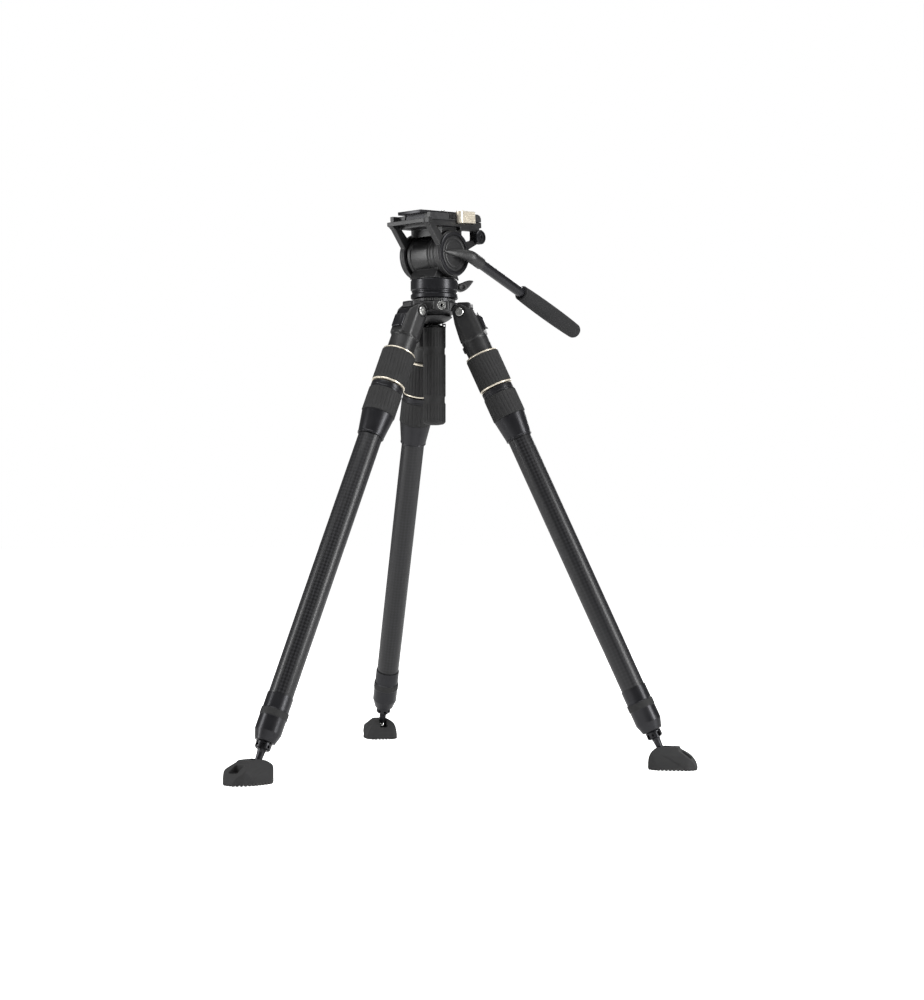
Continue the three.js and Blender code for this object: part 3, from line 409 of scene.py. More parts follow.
def bowl_wall(inner, thick, mouth, top, steps=10):
    """A closed outline of a spherical wall from its mouth at the bottom up to a height."""
    wall = []
    for radius, way in ((inner, 1), (inner + thick, -1)):
        high, low = math.degrees(math.acos(top / radius)), 180 - math.degrees(math.asin(mouth / radius))
        wall += [polar(radius, high + (low - high) * i / steps) for i in range(steps + 1)][::way]
    return wall


WING = [(-11, 14.5), (-11, 1), (-9, -1), (-8.2, -3.6), (-5.2, -7.2), (0, -9), (5.2, -7.2), (7.8, -4.5),
    (8.2, 3.6), (10, 5), (15, 5), (17, 8), (16, 15), (13.5, 17.2), (-4, 17.2)]
spider_shape = turned([(35.9, -7), (36.4, -8), (30.2, -21), (24, -28), (24, -31.7), (30.6, -25.5),
    (37.6, -23), (43, -23), (44, -22), (44, -8.5), (42.5, -7)], 128, 0.8)
additions, pockets = [], []
for leg_turn in (180, 300, 60):
    outward = turn(leg_turn) @ shift(0, PIN_RING, -BOWL_OVER_PIN)
    arm = carved(slab(rounded(WING, 1.6), -LUG_HALF, LUG_HALF), shared=[
        slab(rounded([(-13, -60), (13, -60), (13, 11), (9.5, 17.5), (-9.5, 17.5), (-13, 11)], 5, 6), -20, 20,
        "z")])
    lobe = moved(turned([(0, 14), (8.4, 14), (8.4, 16.2), (0, 17)], 48, 1.4), shift(0, 6, 1.2))
    additions += [moved(arm, outward), moved(lobe, outward)]
    additions.append(moved(slab(rounded([(-15, 36), (15, 36), (15, 46), (12, 49), (-12, 49), (-15, 46)], 2),
        -22, -7, "z"), turn(leg_turn + 60)))
    for side in (LUG_HALF + 16, -LUG_HALF):
        pockets.append(moved(rod(CHEEK_R + 0.8, side - 16, side, "x"), outward))
    pockets.append(moved(rod(PIN_HOLE_R, -30, 30, "x"), outward))
port = turn(240) @ shift(0, 0, -14.4)
pockets += [moved(rod(7.6, 46, 70, "y"), port), moved(rod(2.9, 39, 70, "y"), port)]
spider_shape = softened(carved(spider_shape, additions, pockets), 0.7, 5)
piece("spider_casting", spider_shape, bowl, powder_coat, "spider", ["spider"])

# Stainless steel: bright drawn bar turned on a lathe, so that fine rings run round it.
stainless, tree, shader = new_finish("turned_stainless_steel", "#c9cac8", 1.0, 0.24)
speckled(tree, shader, ("#c2c3c1", "#d6d6d3"), 0.35, 6, (0.18, 0.3), 0.003)

# The accessory port: a threaded bush pressed into the front block.
thread = [(2.9 + (0.35 if i % 2 else 0), 48.9 - 0.45 * i) for i in range(7)]
bush = turned([(3.3, 49.6), (6.9, 49.6), (7.3, 49.2), (7.3, 46.3), (2.9, 46.3)] + thread[::-1], 64, 0.1)
piece("accessory_port_bush", moved(bush, turn(-90, "X")), bowl @ port, stainless, "spider", ["port_bush"])

# ---------------------------------------------------------------- leg shoulders
# Each leg's top casting: a fork that straddles the spider's lug, with a socket for the tube.
# It swings on a steel pin whose heads sit in round recesses, and a paddle stops the spread.
LEGS = {}
for letter in "abc":
    pin = point(f"leg_{letter}_fold")
    up = -axis(f"leg_{letter}_middle_slide")
    outboard = Vector((pin.x, pin.y - point("bowl_level").y, 0))
    across = outboard.cross(up)
    LEGS[letter] = axes(pin, across, up)
LEAN = math.asin(math.sqrt(1 - up.z ** 2))
SHOULDER_R = 22.5
RECESS_R, RECESS_FLOOR = 10.3, 19


def on_each_leg(*parts):
    """Puts parts on every leg. Each gives its name, shape, finish, body, the CAD node it stands for,
    if any, and the legs' frames, where they aren't those at the hinge pins."""
    for letter in LEGS:
        for name, item, finish, body, node, *places in parts:
            place = (places[0] if places else LEGS)[letter]
            piece(f"leg_{letter}_{name}", copied(item), place, finish, f"leg_{letter}_{body}",
                  [f"leg_{letter}_{node}"] if node else ())
    for name, item, *rest in parts:
        bpy.data.objects.remove(item)


def wing_line(y):
    return (5 - y * math.sin(LEAN)) / math.cos(LEAN)


def below_wing(y, drop):
    """A point that far outboard and that far under the wing of a spread leg."""
    return y, wing_line(y) - drop


side_view = [(-22.5, -50), (-17, -14), (-13, 0), (-11.3, 6.5), (-6.5, 11.3), (0, 13), (6.5, 11.3),
    (10.6, 7.5), (21, -6), (23.5, -18), (23.5, -38), (22.5, -50)]
plan = [(-22.5, -10), (-14, -22.5), (14, -22.5), (22.5, -10), (22.5, 10), (14, 24), (-14, 24), (-22.5, 10)]
shoulder = carved(slab(rounded(side_view, 3), -SHOULDER_R, SHOULDER_R),
    shared=[slab(rounded(plan, 12, 8), -60, 30, "z")])
socket = turned([(0, -78.7), (21.6, -78.7), (22.5, -77.7), (22.5, -53), (23.1, -52), (23.1, -49.5), (0, -46)],
    96, 0.4)
socket_key = box((-5, 5), (-25, -18), (-66, -56))
shoulder = carved(shoulder, [socket, socket_key], [
    box((-LUG_HALF - 0.3, LUG_HALF + 0.3), (-40, 40), (-16, 40)),
    slab([below_wing(11.6, 0), below_wing(11.6, 34.7), below_wing(60, 34.7), below_wing(60, 0)], -11.4, 11.4),
    rod(16.4, -90, -58),
    rod(PIN_HOLE_R, -30, 30, "x"),
    rod(RECESS_R, RECESS_FLOOR, 30, "x"),
    rod(RECESS_R, -30, -RECESS_FLOOR, "x"),
])
shoulder = softened(shoulder, 0.7, 5)

hex_key = [polar(2.9, 90 - 60 * i) for i in range(6)]
hinge = turned([(0, -22.4), (6.2, -22.4), (7, -21.6), (7, -19.3), (4, -19.3), (4, 19.3), (7, 19.3), (7, 21.6),
    (6.2, 22.4), (0, 22.4)], 64, 0.3)
hinge = carved(hinge, cuts=[slab(hex_key, -24, -20.6, "z"), slab(hex_key, 20.6, 24, "z")])
moved(hinge, turn(90, "Y"))

paddle_side = [below_wing(12, 0.3), below_wing(12, 34.3), below_wing(28.5, 35.5), below_wing(29.5, 14),
    below_wing(26, 11.3), below_wing(21, 11.3), below_wing(21, 0.3)]
paddle = edged(carved(slab(rounded(paddle_side, 2.2, 4), -11, 11), shared=[
    slab(rounded([(-11, 0), (11, 0), (11, 24), (7.5, 30), (-7.5, 30), (-11, 24)], 4, 5), -60, 20, "z")]), 1.2)

# Black anodised aluminium: turned, then dyed. Fine tool rings stretch the highlights sideways.
anodised, tree, shader = new_finish("black_anodised_turned_aluminium", "#222224",
    0.55, 0.32)
where = add_node(tree, "ShaderNodeTexCoord").outputs["UV"]
# Tool rings are 0.1 mm apart; they are drawn at 0.6 mm so that they show.
lines = add_node(tree, "ShaderNodeMapping", inputs={"Vector": where, "Scale": (0.02, 1 / 0.6, 1.0)})
rings = add_node(tree, "ShaderNodeTexNoise", inputs={"Vector": lines.outputs["Vector"], "Scale": 1.0,
    "Detail": 2.0})
bump = speckled(tree, shader, ("#1f1f22", "#29292c"), 0.5, 30, (0.27, 0.35), 0.003)
bump_rings = add_node(tree, "ShaderNodeBump", inputs={
    "Height": rings.outputs["Fac"], "Strength": 0.15, "Distance": 0.01 * MM,
    "Normal": bump.outputs["Normal"]})
tree.links.new(bump_rings.outputs["Normal"], shader.inputs["Normal"])

on_each_leg(("shoulder_casting", shoulder, powder_coat, "upper", "shoulder"),
            ("pin", hinge, stainless, "upper", "hinge_pin"),
            ("stop_paddle", paddle, anodised, "stop", "angle_stop"))

# ---------------------------------------------------------------- twist locks
# Two collars on each leg. The upper one has bright champagne rims round a rubber sleeve. The
# lower one is black, with a plain collar, a rubber sleeve and a cone that meets the tube.
champagne, tree, shader = new_finish("champagne_anodised_aluminium", "#e6dccb", 0.6,
    0.32)
speckled(tree, shader, ("#e2d8c4", "#ece4d4"), 0.4, 12, (0.26, 0.36), 0.002)

# Moulded rubber: matt, slightly bloomed and dusty, with a fine spark-eroded grain.
ribbed_rubber, tree, shader = new_finish("moulded_black_rubber", "#222223", 0.0, 0.78)
speckled(tree, shader, ("#1b1b1c", "#252525"), 0.7, 18, (0.62, 0.8), 0.03)
shader.inputs["Specular IOR Level"].default_value = 0.35


def group_inputs(tree, sockets):
    """Names a Geometry Nodes tree's inputs and gives its input node's outputs and its output node."""
    for label, kind in sockets:
        tree.interface.new_socket(label, in_out="INPUT", socket_type=kind)
    tree.interface.new_socket("Geometry", in_out="OUTPUT", socket_type="NodeSocketGeometry")
    return add_node(tree, "NodeGroupInput").outputs, add_node(tree, "NodeGroupOutput")


def close_tree(tree, geometry, given, out):
    """Ends a Geometry Nodes tree with one plain mesh in the given finish."""
    plain = add_node(tree, "GeometryNodeRealizeInstances", inputs={"Geometry": geometry})
    painted = add_node(tree, "GeometryNodeSetMaterial", inputs={
        "Geometry": plain.outputs["Geometry"], "Material": given["Finish"]})
    tree.links.new(painted.outputs["Geometry"], out.inputs["Geometry"])


# Geometry Nodes: ribs run along a sleeve's outer skin, fading out at both ends.
rib_tree = bpy.data.node_groups.new("ribs_along_a_sleeve", "GeometryNodeTree")
given, out = group_inputs(rib_tree, [
    ("Geometry", "NodeSocketGeometry"), ("Rib Count", "NodeSocketInt"), ("Rib Depth", "NodeSocketFloat"),
    ("Rib Slant", "NodeSocketFloat"), ("Lowest", "NodeSocketFloat"), ("Highest", "NodeSocketFloat"),
    ("Skin Radius", "NodeSocketFloat"), ("Sharpness", "NodeSocketFloat"), ("Finish", "NodeSocketMaterial")])
spot = add_node(rib_tree, "ShaderNodeSeparateXYZ", inputs={
    "Vector": add_node(rib_tree, "GeometryNodeInputPosition").outputs["Position"]}).outputs
known = {socket.name: socket for socket in (*given, *spot)}
# Each step is a name, an operation and its operands; a later step can use an earlier one.
for name, operation, *values in (
        ("Angle", "ARCTAN2", "Y", "X"), ("Twist", "MULTIPLY", "Z", "Rib Slant"),
        ("Slanted", "ADD", "Angle", "Twist"), ("Phase", "MULTIPLY", "Slanted", "Rib Count"),
        ("Wave", "COSINE", "Phase"), ("Hill", "MULTIPLY_ADD", "Wave", 0.5, 0.5),
        ("Hollow", "POWER", "Hill", "Sharpness"), ("X Squared", "MULTIPLY", "X", "X"),
        ("Y Squared", "MULTIPLY", "Y", "Y"), ("Both Squared", "ADD", "X Squared", "Y Squared"),
        ("Reach", "SQRT", "Both Squared"), ("On Skin", "GREATER_THAN", "Reach", "Skin Radius"),
        ("Over Low", "GREATER_THAN", "Z", "Lowest"), ("Under High", "LESS_THAN", "Z", "Highest"),
        ("Between", "MULTIPLY", "Over Low", "Under High"), ("Skin Hollow", "MULTIPLY", "Hollow", "On Skin"),
        ("Cut In", "MULTIPLY", "Skin Hollow", "Between"), ("Depth", "MULTIPLY", "Cut In", "Rib Depth"),
        ("Share", "DIVIDE", "Depth", "Reach"), ("Inwards", "MULTIPLY", "Share", -1.0),
        ("Offset X", "MULTIPLY", "X", "Inwards"), ("Offset Y", "MULTIPLY", "Y", "Inwards")):
    known[name] = add_node(rib_tree, "ShaderNodeMath", {"operation": operation}, {
        i: known.get(value, value) for i, value in enumerate(values)}).outputs[0]
offset = add_node(rib_tree, "ShaderNodeCombineXYZ", inputs={"X": known["Offset X"], "Y": known["Offset Y"]})
ribbed = add_node(rib_tree, "GeometryNodeSetPosition", inputs={
    "Geometry": given["Geometry"], "Offset": offset.outputs["Vector"]})
close_tree(rib_tree, ribbed.outputs["Geometry"], given, out)


def grown(item, tree, values):
    """Runs a Geometry Nodes tree on an object with the named inputs, and keeps the plain mesh."""
    change = item.modifiers.new("grown", "NODES")
    change.node_group = tree
    for socket in tree.interface.items_tree:
        if socket.in_out == "INPUT" and socket.name in values:
            change[socket.identifier] = values[socket.name]
    return settle(item)


PER_RIB = 8


def stations(start, end, step):
    """Heights from start down to end, close enough for a rib to fade in and out."""
    count = max(1, round(abs(end - start) / step))
    return [start + (end - start) * i / count for i in range(count + 1)]


def sleeve(inner, outer, low, high, count, depth):
    """A rubber sleeve with grooves between its broad ribs."""
    levels = [high - 1.2] + stations(high - 2.4, low + 2.4, 8) + [low + 1.2]
    profile = [(inner, low), (inner, high), (outer - 1, high), (outer, high - 1)] + [
        (outer, level) for level in levels] + [(outer, low + 1), (outer - 1, low)]
    body = turned(profile, count * PER_RIB, 0)
    return grown(body, rib_tree, {"Rib Count": count, "Rib Depth": depth, "Rib Slant": 0.0022,
                                  "Lowest": low + 1.8, "Highest": high - 1.8, "Skin Radius": outer - 0.5,
                                  "Sharpness": 6.0, "Finish": ribbed_rubber})


LOCK_R = 28.75
upper_lock = turned([(16.4, -79), (16.4, -89), (18.4, -89), (18.4, -140.7), (28.1, -140.7), (28.75, -140.1),
    (28.75, -138.2), (26.5, -138.2), (26.5, -81.5), (27.9, -81.5), (27.9, -79.6), (27.3, -79)], 128, 0.5)
upper_grip = sleeve(26.8, LOCK_R, -137.9, -81.8, 30, 0.9)
lower_lock = turned([(18.4, -142.7), (18.4, -152.7), (20.5, -152.7), (20.5, -235.7), (22.2, -235.7),
    (22.6, -235.1), (22.6, -233.3), (22.2, -232.7), (27.5, -195.7), (25.5, -195.7), (25.5, -153.7),
    (27.5, -153.7), (27.5, -151.3), (27, -150.9), (27, -150.1), (27.5, -149.7), (27.5, -143.7),
    (26.6, -142.7)], 128, 0.4)
lower_grip = sleeve(25.8, LOCK_R - 0.3, -195.4, -154, 26, 0.8)
on_each_leg(("upper_collar", upper_lock, champagne, "upper_twist", "upper_lock"),
            ("upper_rubber", upper_grip, ribbed_rubber, "upper_twist", "upper_lock_grip"),
            ("lower_collar", lower_lock, anodised, "lower_twist", "lower_lock"),
            ("lower_rubber", lower_grip, ribbed_rubber, "lower_twist", "lower_lock_grip"))

# ---------------------------------------------------------------- leg tubes
# Three carbon-fibre tubes telescope in each leg, the thickest lowest. Roll-wrapped twill cloth
# under clear gloss resin: the tows cross at 45 degrees and catch the light in small diamonds.
# A tow is 2 mm wide; it is drawn at 4.2 mm so that the diamonds show.
TOW = 4.2
carbon, tree, shader = new_finish("carbon_fibre_twill_in_gloss_resin", "#17171a", 0.0, 0.36)
where = add_node(tree, "ShaderNodeTexCoord").outputs["UV"]
weave = add_node(tree, "ShaderNodeMapping", inputs={
    "Vector": where, "Rotation": (0, 0, math.radians(45)), "Scale": (1 / TOW, 1 / TOW, 1.0)})
cells = add_node(tree, "ShaderNodeSeparateXYZ", inputs={"Vector": weave.outputs["Vector"]}).outputs
fibres = add_node(tree, "ShaderNodeTexNoise", inputs={"Vector": where, "Scale": 0.8, "Detail": 3.0})
known = {"X": cells["X"], "Y": cells["Y"], "Fibres": fibres.outputs["Fac"]}
# At each crossing one of the two tows lies on top, turn about, and stands up along its middle. The top tow is
# painted lighter: a painted sheen for the light it catches.
for name, operation, *values in (
        ("Column", "FLOOR", "X"), ("Line", "FLOOR", "Y"), ("Cell", "ADD", "Column", "Line"),
        ("Turn", "FLOORED_MODULO", "Cell", 2.0), ("Over", "LESS_THAN", "Turn", 1.0),
        ("Under", "SUBTRACT", 1.0, "Over"), ("Across", "PINGPONG", "X", 0.5), ("Along", "PINGPONG", "Y", 0.5),
        ("Crown X", "MULTIPLY", "Across", "Over"), ("Crown Y", "MULTIPLY", "Along", "Under"),
        ("Crown", "ADD", "Crown X", "Crown Y"), ("Painted Top Tow Sheen", "MULTIPLY", "Over", 0.7),
        ("Fibre Tone And Painted Sheen", "MULTIPLY_ADD", "Fibres", 0.4, "Painted Top Tow Sheen")):
    known[name] = add_node(tree, "ShaderNodeMath", {"operation": operation}, {
        i: known.get(value, value) for i, value in enumerate(values)}).outputs[0]
# Base colour: near black with a random fibre tone, made lighter on the top tows as a painted sheen.
tone = add_node(tree, "ShaderNodeMix", {"data_type": "RGBA"}, {
    "Factor": known["Fibre Tone And Painted Sheen"], "A": linear("#020203"), "B": linear("#1c1c1f")})
tree.links.new(tone.outputs["Result"], shader.inputs["Base Color"])
glossy = add_node(tree, "ShaderNodeMapRange", inputs={"Value": known["Over"], "To Min": 0.4, "To Max": 0.56})
tree.links.new(glossy.outputs["Result"], shader.inputs["Roughness"])
bump = add_node(tree, "ShaderNodeBump", inputs={"Height": known["Crown"], "Strength": 0.5,
    "Distance": 0.12 * MM})
tree.links.new(bump.outputs["Normal"], shader.inputs["Normal"])
shader.inputs["Coat Weight"].default_value = 0.22
shader.inputs["Coat Roughness"].default_value = 0.2
shader.inputs["Specular IOR Level"].default_value = 0.35

TUBE_WALL = 1.5
TUBES = {"upper": (16, -672.4, -58.3), "middle": (18, -692.4, -89.3), "lower": (20, -712.4, -153)}
for section, (radius, low, high) in TUBES.items():
    drawn = turned([(radius - TUBE_WALL, low), (radius - TUBE_WALL, high), (radius, high), (radius, low)], 96,
        0.3)
    on_each_leg((f"{section}_carbon", drawn, carbon, section, f"{section}_tube"))

# ---------------------------------------------------------------- feet
# A turned aluminium cup caps each lower tube and takes the screwed-in stem, which has a
# castellated collar and a ball. The ball snaps into a moulded rubber shoe with a toothed sole.
cup = turned([(0, -712.7), (20.3, -712.7), (20.3, -694.7), (21, -694.7), (21.3, -694.2), (21.3, -718.7),
    (22.4, -719.3), (22.4, -731.1), (21.9, -731.7), (21.9, -755.7), (20.6, -759.2), (16.9, -770.7),
    (15.9, -771.7), (6.3, -771.7), (6.3, -751.7), (0, -751.7)], 128, 0.5)
band = turned([(21.9, -719.6), (22.65, -720), (22.65, -730.6), (21.9, -731)], 128, 0.3)

prongs = carved(turned([(0, -752), (6, -752), (6, -772), (12, -772), (13, -773), (13, -782.2), (10.6, -784.5),
    (7.6, -784.5), (6.4, -788.7), (5.3, -805.2), (0, -805.2)], 64, 0.5),
    cuts=[moved(box((8.2, 20), (-3.4, 3.4), (-796.7, -775.2)), turn(45 + 90 * i)) for i in range(4)] + [
    moved(rod(2.3, 6.2, 20, "y", (0, -778.7), sides=32), turn(90 * i)) for i in range(4)])
flutes = [moved(rod(1.3, -808.7, -785.7, "z", (7.2, 0), sides=20, soften=0.6),
    turn(60 * i)) for i in range(6)]
prongs = edged(carved(prongs, cuts=flutes), 0.35, 2, 40)
BALL_R, BALL_HEIGHT = 8, -812
ball = turned([(0, BALL_HEIGHT + BALL_R)] + [polar(BALL_R, a, BALL_HEIGHT) for a in range(10, 180, 10)]
              + [(0, BALL_HEIGHT - BALL_R)], 64, 0)

# Foot rubber: tough natural rubber, dull and finely grained, scuffed grey on its outer edges.
foot_rubber, tree, shader = new_finish("scuffed_foot_rubber", "#29292a", 0.0, 0.85)
speckled(tree, shader, ("#262627", "#313131"), 0.9, 14, (0.74, 0.92), 0.06, worn="#4a4a48")
shader.inputs["Specular IOR Level"].default_value = 0.3

SOLE = 1.8
shoe_side = [(-23, SOLE), (57, SOLE), (56.4, 6)]
shoe_side += [(53 - 2.3 * t - 0.1 * t * t, 13 + 2.9 * t - 0.06 * t * t) for t in range(0, 9)]
shoe_side += [(27, 37.6), (23, 38), (2, 38), (-3, 37.2)]
shoe_side += [(-3 - 20 * math.sin(math.radians(a)),
    37.2 - 30 * (1 - math.cos(math.radians(a)))) for a in range(12, 90, 12)]
shoe_end = [(-29, SOLE), (29, SOLE), (28.8, 6), (27, 15), (23.6, 24.5), (18, 32), (11, 38), (-11, 38),
    (-18, 32), (-23.6, 24.5), (-27, 15), (-28.8, 6)]
shoe_plan = [(-17, -23), (17, -23), (29, -6), (29, 29), (23, 46), (12, 57), (-12, 57), (-23, 46), (-29, 29),
    (-29, -6)]


def shoe_form(grow):
    """The shoe's dome, a little wider where grow is over 1."""
    wider = Matrix.Diagonal((grow, 1, 1, 1))
    dome = slab(shoe_side, -40, 40)
    return carved(dome, shared=[moved(slab(rounded(shoe_end, 6), -40, 80, "y"), wider),
                                moved(slab(rounded(shoe_plan, 14, 6), -5, 50, "z"), wider)])


arch = [(-30, 60), (-30, 30), (-14, 29), (2, 26), (18, 19), (32, 11), (44, 2), (50, -4), (80, -4), (80, 60)]
shoe = carved(shoe_form(1.0), [carved(shoe_form(1.04), shared=[slab(arch, -60, 60)])], [
    moved(turned([polar(8.4, a) for a in range(0, 181, 12)], 48, 0), shift(0, 0, 26)),
    slab([(4, 26), (34, 66), (-60, 66), (-60, 26), (-4, 22)], -7, 7),
    box((-10, 10), (31, 47.5), (17, 60)),
])
shoe = softened(shoe, 0.8, 9)

# Geometry Nodes: lugs of the sole, set at equal steps along its outline.
lug_tree = bpy.data.node_groups.new("lugs_along_a_sole", "GeometryNodeTree")
given, out = group_inputs(lug_tree, [
    ("Geometry", "NodeSocketGeometry"), ("Lug Count", "NodeSocketInt"), ("Lug Radius", "NodeSocketFloat"),
    ("Lug Length", "NodeSocketFloat"), ("Finish", "NodeSocketMaterial")])
path = add_node(lug_tree, "GeometryNodeMeshToCurve", inputs={"Mesh": given["Geometry"]})
even = add_node(lug_tree, "GeometryNodeResampleCurve", inputs={"Curve": path.outputs["Curve"],
    "Count": given["Lug Count"]})
tooth = add_node(lug_tree, "GeometryNodeMeshCylinder", inputs={
    "Vertices": 12, "Radius": given["Lug Radius"], "Depth": given["Lug Length"]})
facing = add_node(lug_tree, "FunctionNodeAlignRotationToVector", {"axis": "Z"}, {
    "Vector": add_node(lug_tree, "GeometryNodeInputNormal").outputs["Normal"]})
planted = add_node(lug_tree, "GeometryNodeInstanceOnPoints", inputs={
    "Points": even.outputs["Curve"], "Instance": tooth.outputs["Mesh"],
    "Rotation": facing.outputs["Rotation"]})
close_tree(lug_tree, planted.outputs["Instances"], given, out)

inset = [(u * 0.93, 18 + (v - 18) * 0.93) for u, v in rounded(shoe_plan, 14, 6)]
loop = bpy.data.meshes.new("sole_outline")
loop.from_pydata([(u, v, 2.4) for u, v in inset], [(i, (i + 1) % len(inset)) for i in range(len(inset))], [])
sole = bpy.data.objects.new("sole_outline", loop)
scene.collection.objects.link(sole)
sole = grown(sole, lug_tree, {"Lug Count": 34, "Lug Radius": 2.4, "Lug Length": 4.6, "Finish": foot_rubber})
GROUNDS = {}
for letter in LEGS:
    ankle = point(f"leg_{letter}_foot_tilt")
    outboard = Vector((ankle.x, ankle.y - point("bowl_level").y, 0))
    GROUNDS[letter] = axes(Vector((ankle.x, ankle.y, 0)), outboard.cross(Vector((0, 0, 1))),
        Vector((0, 0, 1)))
on_each_leg(("tube_cup", cup, anodised, "lower", "foot_cup"),
            ("cup_band", band, ribbed_rubber, "lower", None),
            ("foot_prongs", prongs, anodised, "lower", "foot_stem"),
            ("stem_ball", ball, stainless, "lower", None),
            ("shoe", shoe, foot_rubber, "foot", "foot_pad", GROUNDS),
            ("sole_lugs", sole, foot_rubber, "foot", None, GROUNDS))

# ---------------------------------------------------------------- levelling bowl
# A turned half ball sits in the spider's seat. A cup below, drawn up by the long handle on its
# stud, clamps it at any slope up to eight degrees.
half_ball = [(0, 0)] + [polar(35.5, a) for a in range(90, 144, 6)]
half_ball += [(21, -28.6), (5.4, -28.6), (5.4, -12), (0, -12)]
piece("levelling_half_ball", turned(half_ball, 128, 0.2), bowl, anodised, "bowl_ball", ["half_ball"])
stud_thread = [(5 - (0.5 if i % 2 else 0), -13 - 1.0 * i) for i in range(70)]
piece("levelling_stud_thread", turned([(0, -12.3), (5, -12.3)] + stud_thread + [(5, -84), (0, -84)], 48, 0),
    bowl, stainless, "bowl_ball", ["levelling_stud"])
clamp = bowl_wall(39.9, 3, 5.5, -29.4)
piece("levelling_clamp_cup", turned(clamp, 96, 0.6), bowl, powder_coat, "bowl_ball", ["level_cup"])

# The handle's rubber sleeve has broad ribs between two waists and a domed end.
waist_tops = (-81, -164)
HANDLE_R = 19.3
handle = [(0, -84.3), (5.3, -84.3), (5.3, -44), (12.4, -44), (13, -44.6), (13, -47.4), (13.6, -48),
    (18.2, -48), (HANDLE_R, -49.2)]
for top in waist_tops:
    handle += [(HANDLE_R, level) for level in stations(handle[-1][1] - 1.2, top + 0.6, 6)]
    handle += [(HANDLE_R, top), (18, top - 2.6), (18, top - 11.4), (HANDLE_R, top - 14)]
handle += [(HANDLE_R, level) for level in stations(handle[-1][1] - 1.2, -207, 6)]
handle += [(HANDLE_R, -207.6), (18.4, -210.2), (15.2, -212.6), (8, -213.8), (0, -214)]
grip = grown(turned(handle, 22 * PER_RIB, 0), rib_tree, {
    "Rib Count": 22, "Rib Depth": 0.8, "Rib Slant": 0.0, "Lowest": -207.2, "Highest": -50,
    "Skin Radius": 19.0, "Sharpness": 8.0, "Finish": ribbed_rubber})
piece("levelling_handle_rubber", grip, bowl, ribbed_rubber, "levelling_handle", ["levelling_grip"])
wing_tab = softened(carved(box((-3, 3), (-19.6, -13), (-48.6, -41)),
    cuts=[rod(1.5, -5, 5, "x", (-17, -44.5))]), 0.5, 4)
piece("levelling_handle_tab", wing_tab, bowl @ turn(135), powder_coat, "levelling_handle")

# ---------------------------------------------------------------- pan base
# The head's foot: a flange screwed to the half ball, a groove, and the drum that turns on it.
head = axes(point("bowl_level"), -axis("tilt"), Vector((0, 0, 1)))
base = turned([(0, 0.3), (38.6, 0.3), (40.25, 1.6), (40.25, 7.4), (38.6, 9.3), (38, 9.3), (38, 12), (12, 12),
    (12, 24), (0, 24)], 160, 0.5)
piece("pan_base_flange", base, bowl, anodised, "bowl_ball", ["base_ring"])

# Geometry Nodes: copies of one small thing stand round a circle, each facing outwards.
ring_tree = bpy.data.node_groups.new("copies_round_a_circle", "GeometryNodeTree")
given, out = group_inputs(ring_tree, [
    ("Geometry", "NodeSocketGeometry"), ("Copy Count", "NodeSocketInt"), ("Circle Radius", "NodeSocketFloat"),
    ("Finish", "NodeSocketMaterial")])
circle = add_node(ring_tree, "GeometryNodeMeshCircle", inputs={"Vertices": given["Copy Count"],
    "Radius": given["Circle Radius"]})
step = add_node(ring_tree, "ShaderNodeMath", {"operation": "DIVIDE"},
    {0: 2 * math.pi, 1: given["Copy Count"]})
index = add_node(ring_tree, "GeometryNodeInputIndex")
heading = add_node(ring_tree, "ShaderNodeMath", {"operation": "MULTIPLY"}, {
    0: index.outputs["Index"], 1: step.outputs[0]})
facing = add_node(ring_tree, "ShaderNodeCombineXYZ", inputs={"Z": heading.outputs[0]})
stood = add_node(ring_tree, "GeometryNodeInstanceOnPoints", inputs={
    "Points": circle.outputs["Mesh"], "Instance": given["Geometry"], "Rotation": facing.outputs["Vector"]})
close_tree(ring_tree, stood.outputs["Instances"], given, out)

# Pan scale: 72 short marks filled with paint, cut just under the flange.
mark = box((-0.25, 0.15), (-0.35, 0.35), (-4.6, -0.6))
marks = grown(mark, ring_tree, {"Copy Count": 72, "Circle Radius": 35.5, "Finish": champagne})
# Scale paint: grey enamel wiped into the cuts, dull and a little uneven.
scale_paint, tree, shader = new_finish("grey_scale_paint", "#8d8d8b", 0.0, 0.6)
speckled(tree, shader, ("#858583", "#999997"), 0.5, 9, (0.5, 0.7), 0.01)
piece("pan_scale_marks", marks, bowl, scale_paint, "bowl_ball")

drum = turned([(12.4, 12.3), (38.9, 12.3), (38.9, 14.5), (40.5, 15.6), (40.5, 31.4), (39, 33.3), (0, 33.3),
    (0, 24.6), (12.4, 24.6)], 160, 0.6)
piece("pan_drum_shell", drum, head, anodised, "pan_unit", ["pan_drum"])

# Pan lock: a fin-shaped cast lever on a cross screw.
PAN_LEVER_TURN = -32
lever_place = head @ turn(PAN_LEVER_TURN) @ shift(0, 48.3, 22.8)
fin = [(0, 7.4), (0, -7.4), (4.5, -6), (9, -3.4), (13.5, 1), (17.5, 6), (21, 10.6), (20.4, 12.3), (13, 12.6),
    (6, 10.6)]
lever = carved(edged(slab(rounded(fin, 1.5), -4, 4), 1.4), [rod(7.5, -8, 8, "x", soften=1)],
               [rod(3.2, 6.4, 10, "x")])
piece("pan_lock_fin", softened(lever, 0.45, 4), lever_place, powder_coat, "pan_lock", ["pan_lock_lever"])

